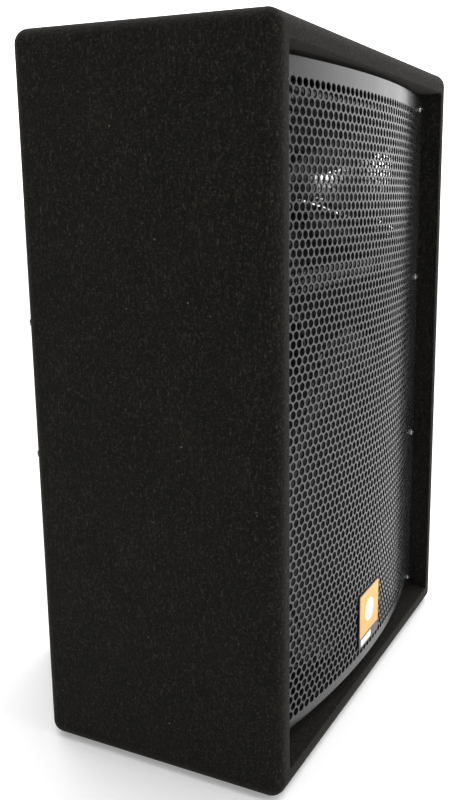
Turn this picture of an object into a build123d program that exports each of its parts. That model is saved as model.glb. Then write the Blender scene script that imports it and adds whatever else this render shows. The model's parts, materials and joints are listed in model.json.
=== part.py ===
from build123d import *
import os
from math import asin, cos, radians, sin, tan

# Two-way stage monitor wedge with a 12-inch woofer and a horn, stored standing on one of its wedge-shaped
# ends. Millimetres. The origin is at the floor, under the middle of the cabinet's box. +Z is up, along the
# cabinet's long side. The grille faces -Y, and -X is the deep side panel.

os.makedirs("parts", exist_ok=True)

# ---------------------------------------------------------------- driving dimensions
WIDTH = 400.0            # across the front
HEIGHT = 584.0           # along the cabinet, end to end
DEPTH = 324.0            # front rim to the rear edge
SIDE_DEPTH = 218.0       # the deep side panel, square to the front
KICK_DEPTH = 56.0        # the shallow side panel, square to the front
CARPET = 2.2             # carpet thickness
WOOD = 15.0              # plywood thickness
EDGE_R = 12.0            # rounding of every outer edge, over the carpet
RECESS = 20.4            # front rim to the front of the grille's flange
GRILLE_T = 1.4           # grille sheet
GRILLE_FLANGE = 15.3     # width of the flat flange down each side of the grille
GRILLE_BOW = 18.2        # how far the middle of the grille stands proud of its flanges
GRILLE_GAP = 4.6         # from the grille's top to the carpeted rim
GRILLE_GAP_LOW = 10.6    # from its bottom to the carpeted rim
BOARD_T = 18.0           # baffle board

RIM = WOOD + 2 * CARPET                  # carpeted rim round the recess
SKIN = CARPET + WOOD                     # outer face to the bare inner face of a panel
FRONT_Y = -DEPTH / 2
BOARD_Y = FRONT_Y + RECESS + GRILLE_T    # front face of the baffle board
BACK_OF_BOARD = BOARD_Y + BOARD_T
FINGER_GAP = 0.1                         # radial room round a screw where it passes a plate

# ---------------------------------------------------------------- plan outline of the cabinet
# The base is at 45 degrees to the front. The sharp rear corner lies beyond its rounding, which gives the
# overall depth.
REAR_OVERHANG = 4.2
SHARP_DEPTH = DEPTH + REAR_OVERHANG
REAR_X = WIDTH / 2 - (SHARP_DEPTH - KICK_DEPTH)
CORNERS = [
    Vector(-WIDTH / 2, FRONT_Y),
    Vector(WIDTH / 2, FRONT_Y),
    Vector(WIDTH / 2, FRONT_Y + KICK_DEPTH),
    Vector(REAR_X, FRONT_Y + SHARP_DEPTH),
    Vector(-WIDTH / 2, FRONT_Y + SIDE_DEPTH),
]
FRONT, KICK, BASE, BACK, SIDE = range(5)


def side_line(number, inset):
    """A point and the direction of one side of the outline, moved inwards."""
    start = CORNERS[number]
    along = (CORNERS[(number + 1) % 5] - start).normalized()
    return start + Vector(-along.Y, along.X) * inset, along


def outline(front, others):
    """The five corners with the front side moved in by one distance and the other sides by another."""
    lines = [side_line(i, front if i == FRONT else others) for i in range(5)]
    found = []
    for i in range(5):
        p, d = lines[i - 1]
        q, e = lines[i]
        t = ((q.X - p.X) * e.Y - (q.Y - p.Y) * e.X) / (d.X * e.Y - d.Y * e.X)
        found.append(p + d * t)
    return found


def side_plane(number, inset=0.0):
    """The face of one side: x runs along the side from its middle, y is up, and z points out."""
    _, along = side_line(number, inset)
    corners = outline(0 if number != FRONT else inset, inset)
    middle = (corners[number] + corners[(number + 1) % 5]) * 0.5
    return Plane(
        origin=(middle.X, middle.Y, 0),
        x_dir=(along.X, along.Y, 0),
        z_dir=(along.Y, -along.X, 0),
    )


def prism(corners, low, high):
    """An upright prism between two heights."""
    with BuildPart() as block:
        with BuildSketch(Plane.XY.offset(low)):
            with BuildLine():
                Polyline(*[(c.X, c.Y) for c in corners], close=True)
            make_face()
        extrude(amount=high - low)
    return block


def save(builder, name):
    """Label the finished piece and write it out."""
    builder.part.label = name
    export_step(builder.part, f"parts/{name}.step")


def facing(y):
    """A plane across the cabinet at depth y that looks out of the front: x is across, y is up."""
    return Plane.XZ.offset(-y)


# ---------------------------------------------------------------- places of the features
WOOFER_X, WOOFER_Z = -12.0, 190.0
HORN_X, HORN_Z = -12.0, 470.0
PORTS = [(-134.0, 50.0), (-134.0, 345.0)]
PORT_R, PORT_WALL, PORT_LENGTH = 27.0, 2.5, 96.0

SCREW_X = WIDTH / 2 - RIM - GRILLE_FLANGE / 2
SCREW_ROWS = [31.7 + 172.4 * i for i in range(4)]
GRILLE_SCREWS = [(sign * SCREW_X, z) for sign in (-1, 1) for z in SCREW_ROWS]
SCREW_R = 1.9
FITTING_SCREW = 10.0                     # how deep the handle's and the pole socket's screws go into the wood

HANDLE_X, HANDLE_Y = -55.0, -20.0
HANDLE_L, HANDLE_W, HANDLE_DEEP = 150.0, 70.0, 45.0
POLE_X, POLE_Y = -14.0, -38.0
POLE_R, POLE_DEEP = 18.0, 82.0
DISH_Z, DISH_W, DISH_L, DISH_DEEP = 300.0, 76.0, 138.0, 34.0
DISH_FLANGE = 8.0
FEET = [(x, z) for x in (-150, 150) for z in (56, HEIGHT - 56)]
FOOT_R, FOOT_H = 18.0, 10.0

# ---------------------------------------------------------------- cabinet blocks that the panels are cut from
outer_block = prism(outline(0, 0), 0, HEIGHT)
with outer_block:
    fillet(outer_block.edges(), radius=EDGE_R)
wood_block = prism(outline(CARPET, CARPET), CARPET, HEIGHT - CARPET)
with wood_block:
    fillet(wood_block.edges(), radius=EDGE_R - CARPET)

wood_corners = outline(CARPET, CARPET)
inner_corners = outline(CARPET, SKIN)
room_corners = outline(BACK_OF_BOARD - FRONT_Y, SKIN)


# ---------------------------------------------------------------- cut-outs that several pieces share
def pocket(plane, width, height, corner, near, far):
    """A rounded rectangular hole between two depths along a plane's normal."""
    with BuildPart() as hole:
        with BuildSketch(plane.offset(near)):
            RectangleRounded(width, height, corner)
        extrude(amount=far - near)
    return hole.part


def drilled(plane, points, radius, near, far):
    """Round holes at points of a plane between two depths along its normal."""
    with BuildPart() as holes:
        with BuildSketch(plane.offset(near)):
            with Locations(*points):
                Circle(radius)
        extrude(amount=far - near)
    return holes.part


handle_plane = Plane(origin=(HANDLE_X, HANDLE_Y, HEIGHT), x_dir=(1, 0, 0), z_dir=(0, 0, 1))
pole_plane = Plane(origin=(POLE_X, POLE_Y, 0), x_dir=(1, 0, 0), z_dir=(0, 0, -1))
back_plane = side_plane(BACK)
base_plane = side_plane(BASE)
dish_plane = Plane(origin=back_plane.from_local_coords((0, DISH_Z, 0)),
                   x_dir=back_plane.x_dir, z_dir=back_plane.z_dir)

# ---------------------------------------------------------------- end panels
for name, low, plane in (
    ("end_panel_bottom", CARPET, pole_plane),
    ("end_panel_top", HEIGHT - SKIN, handle_plane),
):
    with BuildPart() as end_panel:
        add(prism(wood_corners, low, low + WOOD).part)
        add(wood_block.part, mode=Mode.INTERSECT)
        if name == "end_panel_top":
            add(pocket(plane, HANDLE_L + 1, HANDLE_W + 1, 12.5, -SKIN, 0), mode=Mode.SUBTRACT)
            with BuildSketch(plane.offset(-CARPET - FITTING_SCREW)):
                with GridLocations(HANDLE_L + 12, HANDLE_W - 20, 2, 2):
                    Circle(SCREW_R)
            extrude(amount=FITTING_SCREW, mode=Mode.SUBTRACT)
        else:
            with BuildSketch(plane.offset(-SKIN)):
                Circle(POLE_R + 3.5)
            extrude(amount=SKIN, mode=Mode.SUBTRACT)
            with BuildSketch(plane.offset(-CARPET - FITTING_SCREW)):
                with PolarLocations(32, 4, 45):
                    Circle(SCREW_R)
            extrude(amount=FITTING_SCREW, mode=Mode.SUBTRACT)
    save(end_panel, name)

# ---------------------------------------------------------------- long panels, mitred along their edges
for name, number in (
    ("kick_panel", KICK),
    ("base_panel", BASE),
    ("back_panel", BACK),
    ("side_panel", SIDE),
):
    ring = [
        wood_corners[number],
        wood_corners[(number + 1) % 5],
        inner_corners[(number + 1) % 5],
        inner_corners[number],
    ]
    with BuildPart() as long_panel:
        add(prism(ring, SKIN, HEIGHT - SKIN).part)
        add(wood_block.part, mode=Mode.INTERSECT)
        if number == BACK:
            add(pocket(dish_plane, DISH_W + 1, DISH_L + 1, 10.5, -SKIN - 1, 0), mode=Mode.SUBTRACT)
            with BuildSketch(dish_plane.offset(-CARPET - 10)):
                with GridLocations(DISH_W + DISH_FLANGE, DISH_L - 24, 2, 2):
                    Circle(1.5)
            extrude(amount=10, mode=Mode.SUBTRACT)
        if number == BASE:
            add(drilled(base_plane, FEET, SCREW_R, -CARPET - 12, -CARPET), mode=Mode.SUBTRACT)
    save(long_panel, name)

# ---------------------------------------------------------------- baffle board
WOOFER_R, WOOFER_REBATE = 155.5, 10.0
HORN_W, HORN_H, HORN_REBATE = 284.0, 164.0, 4.0
MOUTH_W, MOUTH_H = 244.0, 132.0
WOOFER_SCREW_R = 148.0
woofer_plane = Plane(origin=(WOOFER_X, BOARD_Y, WOOFER_Z), x_dir=(1, 0, 0), z_dir=(0, -1, 0))
horn_plane = Plane(origin=(HORN_X, BOARD_Y, HORN_Z), x_dir=(1, 0, 0), z_dir=(0, -1, 0))
HORN_SCREWS = (HORN_W - 16, HORN_H - 16)

with BuildPart() as baffle_board:
    with BuildSketch(facing(BACK_OF_BOARD)):
        with Locations((0, HEIGHT / 2)):
            Rectangle(WIDTH - 2 * SKIN, HEIGHT - 2 * SKIN)
    extrude(amount=BOARD_T)
    # Woofer: a rebate for the frame's flange round a through hole.
    with BuildSketch(woofer_plane.offset(-WOOFER_REBATE)):
        Circle(WOOFER_R)
    extrude(amount=WOOFER_REBATE, mode=Mode.SUBTRACT)
    with BuildSketch(woofer_plane.offset(-BOARD_T)):
        Circle(143)
        with PolarLocations(WOOFER_SCREW_R, 8, 22.5):
            Circle(2.4)
    extrude(amount=BOARD_T, mode=Mode.SUBTRACT)
    # Horn: a shallow rebate round a rounded through hole.
    with BuildSketch(horn_plane.offset(-HORN_REBATE)):
        RectangleRounded(HORN_W + 1, HORN_H + 1, 12.5)
    extrude(amount=HORN_REBATE, mode=Mode.SUBTRACT)
    with BuildSketch(horn_plane.offset(-BOARD_T)):
        RectangleRounded(MOUTH_W + 12, MOUTH_H + 12, 28)
        with GridLocations(*HORN_SCREWS, 2, 2):
            Circle(SCREW_R)
    extrude(amount=BOARD_T, mode=Mode.SUBTRACT)
    add(drilled(facing(BOARD_Y), PORTS, PORT_R + 0.15, -BOARD_T, 0), mode=Mode.SUBTRACT)
    add(drilled(facing(BOARD_Y), GRILLE_SCREWS, SCREW_R, -14, 0), mode=Mode.SUBTRACT)
save(baffle_board, "baffle_board")

# ---------------------------------------------------------------- carpet
# The carpet is one skin, cut where the end pieces meet the wrap. The wrap turns in over the front rim and
# lines the recess down to the baffle board.
SEAM = EDGE_R + 4


def carpet_piece(name, low, high):
    """The part of the skin between two heights."""
    with BuildPart() as piece:
        add(outer_block.part)
        add(wood_block.part, mode=Mode.SUBTRACT)
        with BuildSketch(facing(BOARD_Y)):
            with Locations((0, HEIGHT / 2)):
                Rectangle(WIDTH - 2 * SKIN, HEIGHT - 2 * SKIN)
        extrude(amount=BOARD_Y - FRONT_Y - CARPET)
        with BuildSketch(facing(BOARD_Y)):
            with Locations((0, HEIGHT / 2)):
                RectangleRounded(WIDTH - 2 * RIM, HEIGHT - 2 * RIM, 2)
        extrude(amount=BOARD_Y - FRONT_Y, mode=Mode.SUBTRACT)
        add(prism(outline(-1, -1), low, high).part, mode=Mode.INTERSECT)
        if name == "carpet_end_top":
            cut = pocket(handle_plane, HANDLE_L + 24.6, HANDLE_W + 14.6, 16.3, -CARPET, 1)
            add(cut, mode=Mode.SUBTRACT)
        if name == "carpet_end_bottom":
            add(drilled(pole_plane, [(0, 0)], 40.3, -CARPET, 1), mode=Mode.SUBTRACT)
        if name == "carpet_wrap":
            cut = pocket(dish_plane, DISH_W + 2 * DISH_FLANGE + 10.6, DISH_L + 16.6, 14.3, -CARPET, 1)
            add(cut, mode=Mode.SUBTRACT)
            add(drilled(base_plane, FEET, 2.6, -CARPET, 1), mode=Mode.SUBTRACT)
    save(piece, name)


carpet_piece("carpet_end_bottom", 0, SEAM)
carpet_piece("carpet_wrap", SEAM, HEIGHT - SEAM)
carpet_piece("carpet_end_top", HEIGHT - SEAM, HEIGHT)

# ---------------------------------------------------------------- grille
GRILLE_HALF = WIDTH / 2 - RIM - 0.6
BOW_HALF = GRILLE_HALF - GRILLE_FLANGE
GRILLE_LOW, GRILLE_HIGH = RIM + GRILLE_GAP_LOW, HEIGHT - RIM - GRILLE_GAP
FLANGE_Y = BOARD_Y - GRILLE_T
BADGE_X, BADGE_Z = -4.0, 71.0
BADGE_W, BADGE_H = 50.0, 54.0

with BuildPart() as grille:
    with BuildSketch(Plane.XY.offset(GRILLE_LOW)):
        with BuildLine():
            Line((-GRILLE_HALF, BOARD_Y), (-BOW_HALF, BOARD_Y))
            ThreePointArc((-BOW_HALF, BOARD_Y), (0, BOARD_Y - GRILLE_BOW), (BOW_HALF, BOARD_Y))
            Line((BOW_HALF, BOARD_Y), (GRILLE_HALF, BOARD_Y))
            Line((GRILLE_HALF, BOARD_Y), (GRILLE_HALF, FLANGE_Y))
            Line((GRILLE_HALF, FLANGE_Y), (BOW_HALF, FLANGE_Y))
            ThreePointArc((BOW_HALF, FLANGE_Y), (0, FLANGE_Y - GRILLE_BOW), (-BOW_HALF, FLANGE_Y))
            Line((-BOW_HALF, FLANGE_Y), (-GRILLE_HALF, FLANGE_Y))
            Line((-GRILLE_HALF, FLANGE_Y), (-GRILLE_HALF, BOARD_Y))
        make_face()
    extrude(amount=GRILLE_HIGH - GRILLE_LOW)
    add(drilled(facing(BOARD_Y), GRILLE_SCREWS, SCREW_R + FINGER_GAP, 0, GRILLE_T), mode=Mode.SUBTRACT)
    add(drilled(facing(BOARD_Y), [(BADGE_X - 18, BADGE_Z), (BADGE_X + 18, BADGE_Z)], 1.6, 0, 30),
        mode=Mode.SUBTRACT)
save(grille, "grille")

with BuildPart() as grille_screws:
    with BuildSketch(facing(FLANGE_Y)):
        with Locations(*GRILLE_SCREWS):
            Circle(3.6)
    extrude(amount=2.2, taper=18)
    with BuildSketch(facing(BOARD_Y + 13)):
        with Locations(*GRILLE_SCREWS):
            Circle(SCREW_R)
    extrude(amount=13 + GRILLE_T)
save(grille_screws, "grille_screws")

# ---------------------------------------------------------------- badge on the grille
BADGE_Y = FLANGE_Y - GRILLE_BOW - 0.3
PLATE_T, FACE_T, INLAY_T = 0.6, 0.5, 0.3
with BuildPart() as badge_plate:
    with BuildSketch(facing(BADGE_Y)):
        with Locations((BADGE_X, BADGE_Z)):
            RectangleRounded(BADGE_W, BADGE_H, 1.5)
    extrude(amount=PLATE_T)
    for x in (BADGE_X - 18, BADGE_X + 18):
        with BuildSketch(facing(BADGE_Y)):
            with Locations((x, BADGE_Z)):
                Circle(1.4)
        extrude(amount=-6)
save(badge_plate, "badge_plate")

FIELD_Z = BADGE_Z + 5
STRIP_Z, STRIP_SHIFT = BADGE_Z - 21.5, 8.0
FACE_Y = BADGE_Y - PLATE_T
with BuildPart() as badge_face:
    with BuildSketch(facing(FACE_Y)):
        with Locations((BADGE_X, FIELD_Z)):
            RectangleRounded(BADGE_W - 2, 42, 1)
    extrude(amount=FACE_T)
    with BuildSketch(facing(FACE_Y - FACE_T)):
        with Locations((BADGE_X, FIELD_Z)):
            Circle(11.3)
    extrude(amount=-INLAY_T, mode=Mode.SUBTRACT)
save(badge_face, "badge_face")

with BuildPart() as badge_inlays:
    with BuildSketch(facing(FACE_Y - FACE_T + INLAY_T)):
        with Locations((BADGE_X, FIELD_Z)):
            Circle(11)
    extrude(amount=0.5)
    with BuildSketch(facing(FACE_Y)):
        with Locations((BADGE_X - STRIP_SHIFT, STRIP_Z)):
            RectangleRounded(26, 6.5, 1)
    extrude(amount=0.4)
save(badge_inlays, "badge_inlays")

# ---------------------------------------------------------------- woofer
# Profiles are drawn as radius and depth behind the board's front face, then turned round the axis.
woofer_section = Plane(origin=(WOOFER_X, BOARD_Y, WOOFER_Z), x_dir=(1, 0, 0), z_dir=(0, 0, 1))
woofer_axis = Axis((WOOFER_X, BOARD_Y, WOOFER_Z), (0, 1, 0))


def turned(section, axis, points):
    """A ring turned from a closed profile of straight lines."""
    with BuildPart() as ring:
        with BuildSketch(section):
            with BuildLine():
                Polyline(*points, close=True)
            make_face()
        revolve(axis=axis)
    return ring


def tube(section, axis, inner, outer, near, far):
    """A plain ring between two radii and two depths."""
    return turned(section, axis, [(inner, near), (outer, near), (outer, far), (inner, far)])


FRAME_FRONT, FRAME_BACK = WOOFER_REBATE - 4.0, WOOFER_REBATE
SPIDER_DEPTH, PLATE_DEPTH = 75.0, 88.0
COIL_R = 25.2
with BuildPart() as woofer_frame:
    add(turned(woofer_section, woofer_axis, [
        (130, FRAME_FRONT), (154, FRAME_FRONT), (154, FRAME_BACK), (141, FRAME_BACK),
        (139, 18), (86, 74), (86, PLATE_DEPTH), (34, PLATE_DEPTH), (34, PLATE_DEPTH - 4),
        (82, PLATE_DEPTH - 4), (82, SPIDER_DEPTH), (77, SPIDER_DEPTH), (77, 72), (82, 72),
        (135, 17), (137, FRAME_BACK), (130, FRAME_BACK),
    ]).part)
    # Six windows between the spokes.
    with BuildSketch(woofer_plane.offset(-71)):
        Circle(134)
        Circle(88, mode=Mode.SUBTRACT)
        with PolarLocations(110, 6, 30):
            Rectangle(70, 20, mode=Mode.SUBTRACT)
    extrude(amount=71 - FRAME_BACK - 4, mode=Mode.SUBTRACT)
    with BuildSketch(woofer_plane.offset(-FRAME_BACK)):
        with PolarLocations(WOOFER_SCREW_R, 8, 22.5):
            Circle(2.6)
    extrude(amount=4, mode=Mode.SUBTRACT)
save(woofer_frame, "woofer_frame")

save(tube(woofer_section, woofer_axis, 136, 141.5, 1, FRAME_FRONT), "woofer_gasket")
save(tube(woofer_section, woofer_axis, 26.8, 60, PLATE_DEPTH, 96), "woofer_top_plate")
save(tube(woofer_section, woofer_axis, 34, 66, 96, 114), "woofer_magnet")
save(turned(woofer_section, woofer_axis, [
    (6, 86), (24.6, 86), (24.6, 114), (60, 114), (60, 122), (6, 122),
]), "woofer_pole_piece")
save(tube(woofer_section, woofer_axis, COIL_R, COIL_R + 0.4, 56, 98), "voice_coil_former")
save(tube(woofer_section, woofer_axis, COIL_R + 0.4, COIL_R + 1.0, 87, 97), "voice_coil_winding")

with BuildPart() as woofer_cone:
    with BuildSketch(woofer_section):
        with BuildLine():
            ThreePointArc((111, 6), (66, 34.5), (25.8, 57))
            Line((25.8, 57), (25.8, 60.5))
            ThreePointArc((25.8, 60.5), (66.8, 35.9), (111.6, 7.4))
            Line((111.6, 7.4), (117, 7.4))
            Line((117, 7.4), (117, 6))
            Line((117, 6), (111, 6))
        make_face()
    revolve(axis=woofer_axis)
save(woofer_cone, "woofer_cone")



def dome(section, axis, rim_r, rim_depth, apex_depth, thickness):
    """A spherical cap, proud towards the front."""
    rise = rim_depth - apex_depth
    radius = (rim_r**2 + rise**2) / (2 * rise)
    centre = apex_depth + radius
    angle = asin(rim_r / radius)

    def at(share, r):
        return (r * sin(angle * share), centre - r * cos(angle * share))

    inner = radius - thickness
    with BuildPart() as cap:
        with BuildSketch(section):
            with BuildLine():
                ThreePointArc(at(0, radius), at(0.5, radius), at(1, radius))
                Line(at(1, radius), at(1, inner))
                ThreePointArc(at(1, inner), at(0.5, inner), at(0, inner))
                Line(at(0, inner), at(0, radius))
            make_face()
        revolve(axis=axis)
    return cap


save(dome(woofer_section, woofer_axis, 38, 49.6, 36, 0.9), "dust_cap")

with BuildPart() as woofer_surround:
    with BuildSketch(woofer_section):
        with BuildLine():
            Line((111.5, 5.2), (117.2, 5.2))
            ThreePointArc((117.2, 5.2), (123.6, -0.8), (130, 5.2))
            Line((130, 5.2), (135.8, 5.2))
            Line((135.8, 5.2), (135.8, 6))
            Line((135.8, 6), (129.2, 6))
            ThreePointArc((129.2, 6), (123.6, 0), (118, 6))
            Line((118, 6), (111.5, 6))
            Line((111.5, 6), (111.5, 5.2))
        make_face()
    revolve(axis=woofer_axis)
save(woofer_surround, "woofer_surround")

# The spider is a corrugated cloth disc, drawn as a zigzag of even pleats.
PLEATS, PLEAT_W, PLEAT_H, SPIDER_T = 11, 4.6, 1.6, 0.8
SPIDER_FRONT = SPIDER_DEPTH - 3 - SPIDER_T
pleat_front = [(28 + PLEAT_W * i, SPIDER_FRONT + PLEAT_H * (i % 2)) for i in range(PLEATS)]
spider_front = [(26, SPIDER_FRONT)] + pleat_front + [(81.5, SPIDER_FRONT)]
spider_outline = spider_front + [(r, d + SPIDER_T) for r, d in reversed(spider_front)]
save(turned(woofer_section, woofer_axis, spider_outline), "woofer_spider")

with BuildPart() as woofer_screws:
    with BuildSketch(woofer_plane.offset(-FRAME_FRONT)):
        with PolarLocations(WOOFER_SCREW_R, 8, 22.5):
            Circle(4.8)
    extrude(amount=3, taper=12)
    with BuildSketch(woofer_plane.offset(-BOARD_T - 6)):
        with PolarLocations(WOOFER_SCREW_R, 8, 22.5):
            Circle(2.4)
    extrude(amount=BOARD_T + 6 - FRAME_FRONT)
save(woofer_screws, "woofer_screws")

with BuildPart() as woofer_t_nuts:
    with BuildSketch(woofer_plane.offset(-BOARD_T)):
        with PolarLocations(WOOFER_SCREW_R, 8, 22.5):
            Circle(5.5)
            Circle(2.5, mode=Mode.SUBTRACT)
    extrude(amount=-1.5)
save(woofer_t_nuts, "woofer_t_nuts")

with BuildPart() as woofer_terminals:
    with BuildSketch(woofer_plane.offset(-PLATE_DEPTH)):
        with Locations((-72, -7), (-72, 7)):
            Rectangle(12, 6)
    extrude(amount=-5)
save(woofer_terminals, "woofer_terminals")

# ---------------------------------------------------------------- horn
# Inside sizes of the horn at four depths: depth, width, height and corner radius.
THROAT_DEPTH, HORN_WALL = 100.0, 3.0
HORN_STATIONS = [
    (0.0, MOUTH_W, MOUTH_H, 26.0),
    (34.0, 168.0, 92.0, 26.0),
    (68.0, 88.0, 54.0, 20.0),
    (THROAT_DEPTH, 28.0, 28.0, 12.6),
]


def horn_loft(wall):
    """The flared body, grown outwards by a wall."""
    with BuildPart() as flare:
        for depth, width, height, corner in HORN_STATIONS:
            with BuildSketch(horn_plane.offset(-depth)):
                RectangleRounded(width + 2 * wall, height + 2 * wall, corner + wall)
        loft()
    return flare.part


with BuildPart() as horn:
    add(horn_loft(HORN_WALL))
    with BuildSketch(horn_plane.offset(-HORN_REBATE)):
        RectangleRounded(HORN_W, HORN_H, 12)
    extrude(amount=HORN_REBATE)
    with BuildSketch(horn_plane.offset(-THROAT_DEPTH)):
        Circle(40)
    extrude(amount=5)
    add(horn_loft(0), mode=Mode.SUBTRACT)
    with BuildSketch(horn_plane.offset(-HORN_REBATE)):
        with GridLocations(*HORN_SCREWS, 2, 2):
            Circle(SCREW_R + FINGER_GAP)
    extrude(amount=HORN_REBATE, mode=Mode.SUBTRACT)
save(horn, "horn")

with BuildPart() as horn_screws:
    with BuildSketch(horn_plane):
        with GridLocations(*HORN_SCREWS, 2, 2):
            Circle(4.2)
    extrude(amount=2.4, taper=15)
    with BuildSketch(horn_plane.offset(-BOARD_T + 2)):
        with GridLocations(*HORN_SCREWS, 2, 2):
            Circle(SCREW_R)
    extrude(amount=BOARD_T - 2)
save(horn_screws, "horn_screws")

# ---------------------------------------------------------------- compression driver
driver_section = Plane(
    origin=(HORN_X, BOARD_Y + THROAT_DEPTH, HORN_Z), x_dir=(1, 0, 0), z_dir=(0, 0, 1)
)
driver_axis = Axis(driver_section.origin, (0, 1, 0))


def driver_part(name, points):
    """A turned piece of the compression driver, measured from the horn's throat."""
    save(turned(driver_section, driver_axis, points), name)


driver_part("driver_front_plate", [(14, 0), (44, 0), (44, 11.5), (23.4, 11.5)])
driver_part("driver_magnet", [(28, 11.5), (48, 11.5), (48, 27.5), (28, 27.5)])
driver_part("driver_top_plate", [(23, 27.5), (46, 27.5), (46, 33.5), (23, 33.5)])
driver_part("phase_plug", [
    (0, 4), (3, 6), (21.2, 13), (23.2, 13), (23.2, 11.5), (27.6, 11.5), (27.6, 20), (21.2, 22),
    (21.2, 32.5), (17, 32.9), (9, 31.2), (0, 30.4),
])

with BuildPart() as driver_diaphragm:
    add(dome(driver_section, driver_axis, 22, 36.6, 32.2, 0.5).part)
    add(tube(driver_section, driver_axis, 21.8, 22.3, 30, 37.2).part)
save(driver_diaphragm, "driver_diaphragm")

driver_part("diaphragm_clamp_ring", [(26, 33.5), (33, 33.5), (33, 37.5), (26, 37.5)])
driver_part("diaphragm_surround", [(22.5, 36.7), (25.9, 36.7), (25.9, 37.2), (22.5, 37.2)])
driver_part("driver_rear_cap", [
    (34, 33.5), (40, 33.5), (40, 46), (34, 52), (0, 52), (0, 49.5), (32.5, 49.5), (37, 45), (37, 36), (34, 36),
])

# ---------------------------------------------------------------- port tubes
with BuildPart() as port_tubes:
    with BuildSketch(facing(BOARD_Y + PORT_LENGTH)):
        with Locations(*PORTS):
            Circle(PORT_R)
            Circle(PORT_R - PORT_WALL, mode=Mode.SUBTRACT)
    extrude(amount=PORT_LENGTH)
save(port_tubes, "port_tubes")

# ---------------------------------------------------------------- battens and brace inside the cabinet
LOW_Z, HIGH_Z = SKIN, HEIGHT - SKIN
LEFT_X = -WIDTH / 2 + SKIN
BATTEN = 16.0
with BuildPart() as baffle_battens:
    with BuildSketch(Plane.XY.offset(LOW_Z)):
        with Locations((LEFT_X, BACK_OF_BOARD)):
            Rectangle(BATTEN, BATTEN, align=(Align.MIN, Align.MIN))
    extrude(amount=HIGH_Z - LOW_Z)
    # The lower one stops short of the port tube.
    for x, z in ((PORTS[0][0] + PORT_R + 5, LOW_Z), (LEFT_X + BATTEN, HIGH_Z - BATTEN)):
        with BuildSketch(Plane.XY.offset(z)):
            with Locations((x, BACK_OF_BOARD)):
                Rectangle(130 - x, BATTEN, align=(Align.MIN, Align.MIN))
        extrude(amount=BATTEN)
save(baffle_battens, "baffle_battens")


def base_inner_x(y):
    """Where the bare inner face of the base panel stands at a depth."""
    point, along = side_line(BASE, SKIN)
    return point.X + along.X * (y - point.Y) / along.Y


BRACE_FRONT, BRACE_BACK, BRACE_Z = -30.0, 12.0, 372.0
brace_corners = [
    Vector(LEFT_X, BRACE_FRONT),
    Vector(base_inner_x(BRACE_FRONT), BRACE_FRONT),
    Vector(base_inner_x(BRACE_BACK), BRACE_BACK),
    Vector(LEFT_X, BRACE_BACK),
]
save(prism(brace_corners, BRACE_Z, BRACE_Z + WOOD), "cabinet_brace")

# ---------------------------------------------------------------- damping wadding, stapled to the panels
with BuildPart() as wadding:
    with BuildSketch(Plane.YZ.offset(LEFT_X)):
        with Locations((-20, 480)):
            RectangleRounded(110, 150, 8)
    extrude(amount=20)
    with BuildSketch(side_plane(BASE, SKIN)):
        with Locations((30, 305)):
            RectangleRounded(200, 96, 8)
    extrude(amount=-20)
save(wadding, "wadding")

# ---------------------------------------------------------------- crossover on the side panel
XO_Y, XO_Z, XO_W, XO_H = -38.0, 200.0, 84.0, 150.0
POST, XO_T = 8.0, 1.8
XO_FACE = LEFT_X + POST + XO_T

with BuildPart() as crossover_standoffs:
    with BuildSketch(Plane.YZ.offset(LEFT_X)):
        with Locations((XO_Y, XO_Z)):
            with GridLocations(XO_W - 12, XO_H - 12, 2, 2):
                Circle(4)
    extrude(amount=POST)
save(crossover_standoffs, "crossover_standoffs")

with BuildPart() as crossover_board:
    with BuildSketch(Plane.YZ.offset(LEFT_X + POST)):
        with Locations((XO_Y, XO_Z)):
            RectangleRounded(XO_W, XO_H, 3)
    extrude(amount=XO_T)
save(crossover_board, "crossover_board")

with BuildPart() as crossover_coils:
    for z, radius, tall in ((XO_Z + 46, 20, 18), (XO_Z - 44, 24, 22)):
        with BuildSketch(Plane.YZ.offset(XO_FACE)):
            with Locations((XO_Y - 14, z)):
                Circle(radius)
                Circle(radius * 0.4, mode=Mode.SUBTRACT)
        extrude(amount=tall)
save(crossover_coils, "crossover_coils")

with BuildPart() as crossover_capacitors:
    for y, z, radius in ((XO_Y + 24, XO_Z + 40, 9), (XO_Y + 24, XO_Z - 2, 9), (XO_Y - 8, XO_Z, 7)):
        with BuildSketch(Plane.XY.offset(z - 16)):
            with Locations((XO_FACE + radius, y)):
                Circle(radius)
        extrude(amount=32)
save(crossover_capacitors, "crossover_capacitors")

with BuildPart() as crossover_resistors:
    for z in (XO_Z - 34, XO_Z - 56):
        with Locations((XO_FACE + 5, XO_Y + 26, z)):
            Box(10, 22, 9)
save(crossover_resistors, "crossover_resistors")

# ---------------------------------------------------------------- input dish and its sockets
SOCKET_Z, JACKS = 36.0, [(0.0, -14.0), (0.0, -46.0)]
SOCKET_R, JACK_R = 12.0, 3.3
SOCKET_DEEP, JACK_DEEP = 20.0, 26.0
DISH_WALL = 2.5
FLOOR = -DISH_DEEP

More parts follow.
